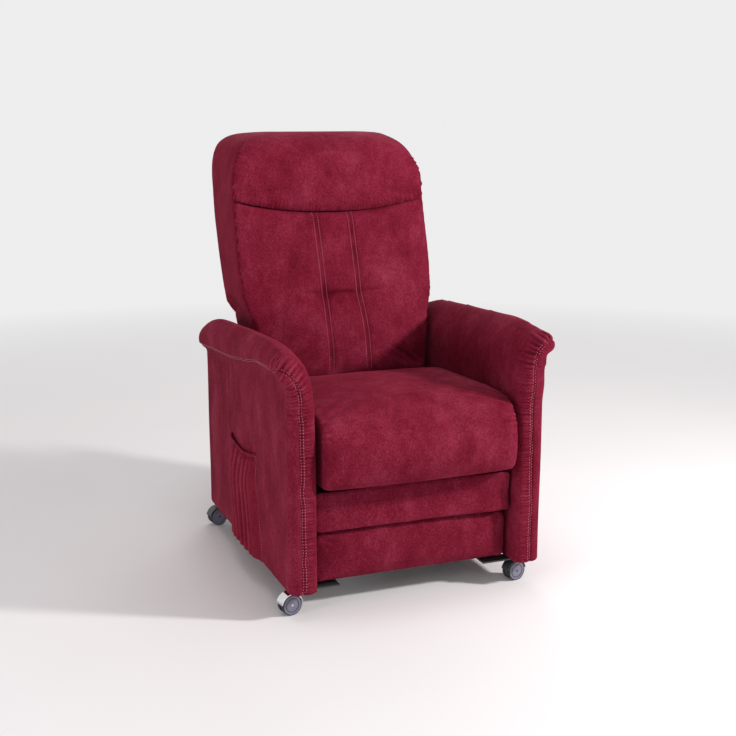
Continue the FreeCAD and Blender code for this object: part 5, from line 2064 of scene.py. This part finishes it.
@dataclass(frozen=True)
class Lamp:
    """One soft round light, aimed at the middle of the chair."""
    name: str
    spot: Triple
    size: float
    power: float
    colour: Triple = (1.0, 0.98, 0.98)
    aim: Triple = (0.0, 0.0, 550.0)

    def build(self) -> None:
        """Adds the light to the scene."""
        data = bpy.data.lights.new(self.name, "AREA")
        data.shape = "DISK"
        data.size = self.size * MM
        data.energy = self.power
        data.color = self.colour
        lamp = bpy.data.objects.new(self.name, data)
        bpy.context.scene.collection.objects.link(lamp)
        lamp.location = Vector(to_row(np.array(self.spot, float)))
        way = Vector(to_row(np.array(self.aim))) - lamp.location
        lamp.rotation_euler = way.to_track_quat("-Z", "Y").to_euler()


@dataclass
class Studio:
    """Floor, lights, background and the camera at the photograph's angle."""
    eye: Triple = (-1112.5, -2866.8, 1165.4)
    target: Triple = (13.27, 0.0, 510.0)
    lens: float = 58.16
    air: Triple = (0.97, 0.92, 0.93)
    air_level: float = 0.42
    floor_rings: tuple[float, ...] = (1500.0, 6000.0, 16000.0)
    floor_sides: int = 96
    lamps: tuple[Lamp, ...] = (
        Lamp("key", (2402, -1802, 1883), 340, 104.0, (1.0, 0.97, 0.96)),
        Lamp("front", (-700, -3300, 2100), 1500, 12.0),
        Lamp("fill", (-2900, -1000, 620), 1100, 27.0, (1.0, 0.97, 0.98)),
        Lamp("rim", (900, 2400, 2600), 1800, 20.0),
        Lamp("top", (-300, -300, 3400), 1300, 19.0, (1.0, 1.0, 1.0)),
    )

    def build(self) -> None:
        """Sets everything up."""
        self.camera()
        self.floor()
        self.world()
        for lamp in self.lamps:
            lamp.build()

    def camera(self) -> None:
        """The camera, fitted to the photograph's frame."""
        data = bpy.data.cameras.new("camera")
        data.sensor_width = 36.0
        data.sensor_fit = "HORIZONTAL"
        data.lens = self.lens
        data.clip_end = 60.0
        camera = bpy.data.objects.new("camera", data)
        bpy.context.scene.collection.objects.link(camera)
        place = Vector(to_row(np.array(self.eye)))
        aim = Vector(to_row(np.array(self.target))) - place
        camera.location = place
        camera.rotation_euler = aim.to_track_quat("-Z", "Y").to_euler()
        bpy.context.scene.camera = camera

    def floor(self) -> None:
        """A wide round floor."""
        count = self.floor_sides
        points = [(0.0, 0.0, 0.0)] + [
            (r * math.cos(2 * math.pi * i / count), r * math.sin(2 * math.pi * i / count), 0.0)
            for r in self.floor_rings for i in range(count)]
        faces = []
        for i in range(count):
            j = (i + 1) % count
            faces.append((0, 1 + i, 1 + j))
            for k in range(len(self.floor_rings) - 1):
                a, b = 1 + k * count, 1 + (k + 1) * count
                faces.append((a + i, b + i, b + j, a + j))
        obj = new_object("studio_floor", np.array(points, float), faces)
        obj.data.materials.append(Paper("floor_paper").make())

    def world(self) -> None:
        """Soft grey light, and a pale background where the camera or a gloss sees it."""
        world = bpy.data.worlds.new("studio")
        bpy.context.scene.world = world
        world.use_nodes = True
        n = Nodes(world.node_tree)
        path = n.add("ShaderNodeLightPath").outputs
        seen = path["Is Camera Ray"]
        for ray in ("Is Glossy Ray", "Is Transmission Ray"):
            seen = n.work_out("ShaderNodeMath", "ADD", seen, path[ray], use_clamp=True).outputs[0]
        mix = n.add("ShaderNodeMixShader", Fac=seen)
        for target, colour, strength in ((mix.inputs[1], self.air, self.air_level),
                                         (mix.inputs[2], BACKDROP, BACKDROP_LEVEL)):
            shade = n.add("ShaderNodeBackground", Color=(*colour, 1), Strength=strength)
            n.give(target, shade.outputs[0])
        n.add("ShaderNodeOutputWorld", Surface=mix.outputs[0])


def main() -> None:
    """Builds the chair in order and reports each piece."""
    logging.basicConfig(level=logging.INFO, format="%(name)s: %(message)s")
    bpy.context.scene.view_settings.view_transform = "Standard"
    Studio().build()
    wardrobe = Wardrobe()
    wardrobe.dress_nodes(frame["nodes"])
    stitcher = Repeater("stitch_rows")
    seat_book, back_book = StitchBook("seat"), StitchBook("back")
    back = BackRest()
    foot = FootPadding()
    steps = (
        ("right arm", lambda: Arm(Side.RIGHT).build(wardrobe, seat_book)),
        ("left arm", lambda: Arm(Side.LEFT).build(wardrobe, seat_book)),
        ("seat cushion", lambda: SeatCushion().build(wardrobe)),
        ("lower back cushion", lambda: back.build_lower(wardrobe, back_book)),
        ("head cushion", lambda: back.build_head(wardrobe)),
        ("back cover", lambda: back.build_cover(wardrobe, back_book)),
        ("footrest panel", lambda: foot.build_panel(wardrobe)),
        ("flap", lambda: foot.build_flap(wardrobe)),
        ("rear panel", lambda: RearPanel().build(wardrobe, seat_book)),
        ("side pocket", lambda: Pocket().build(wardrobe, seat_book)),
        ("seat stitches", lambda: seat_book.sew(stitcher, wardrobe)),
        ("back stitches", lambda: back_book.sew(stitcher, wardrobe)),
    )
    for label, step in steps:
        piece = step()
        LOG.info("%s: %d faces", label, len(piece.data.polygons))


if __name__ == "__main__":
    main()
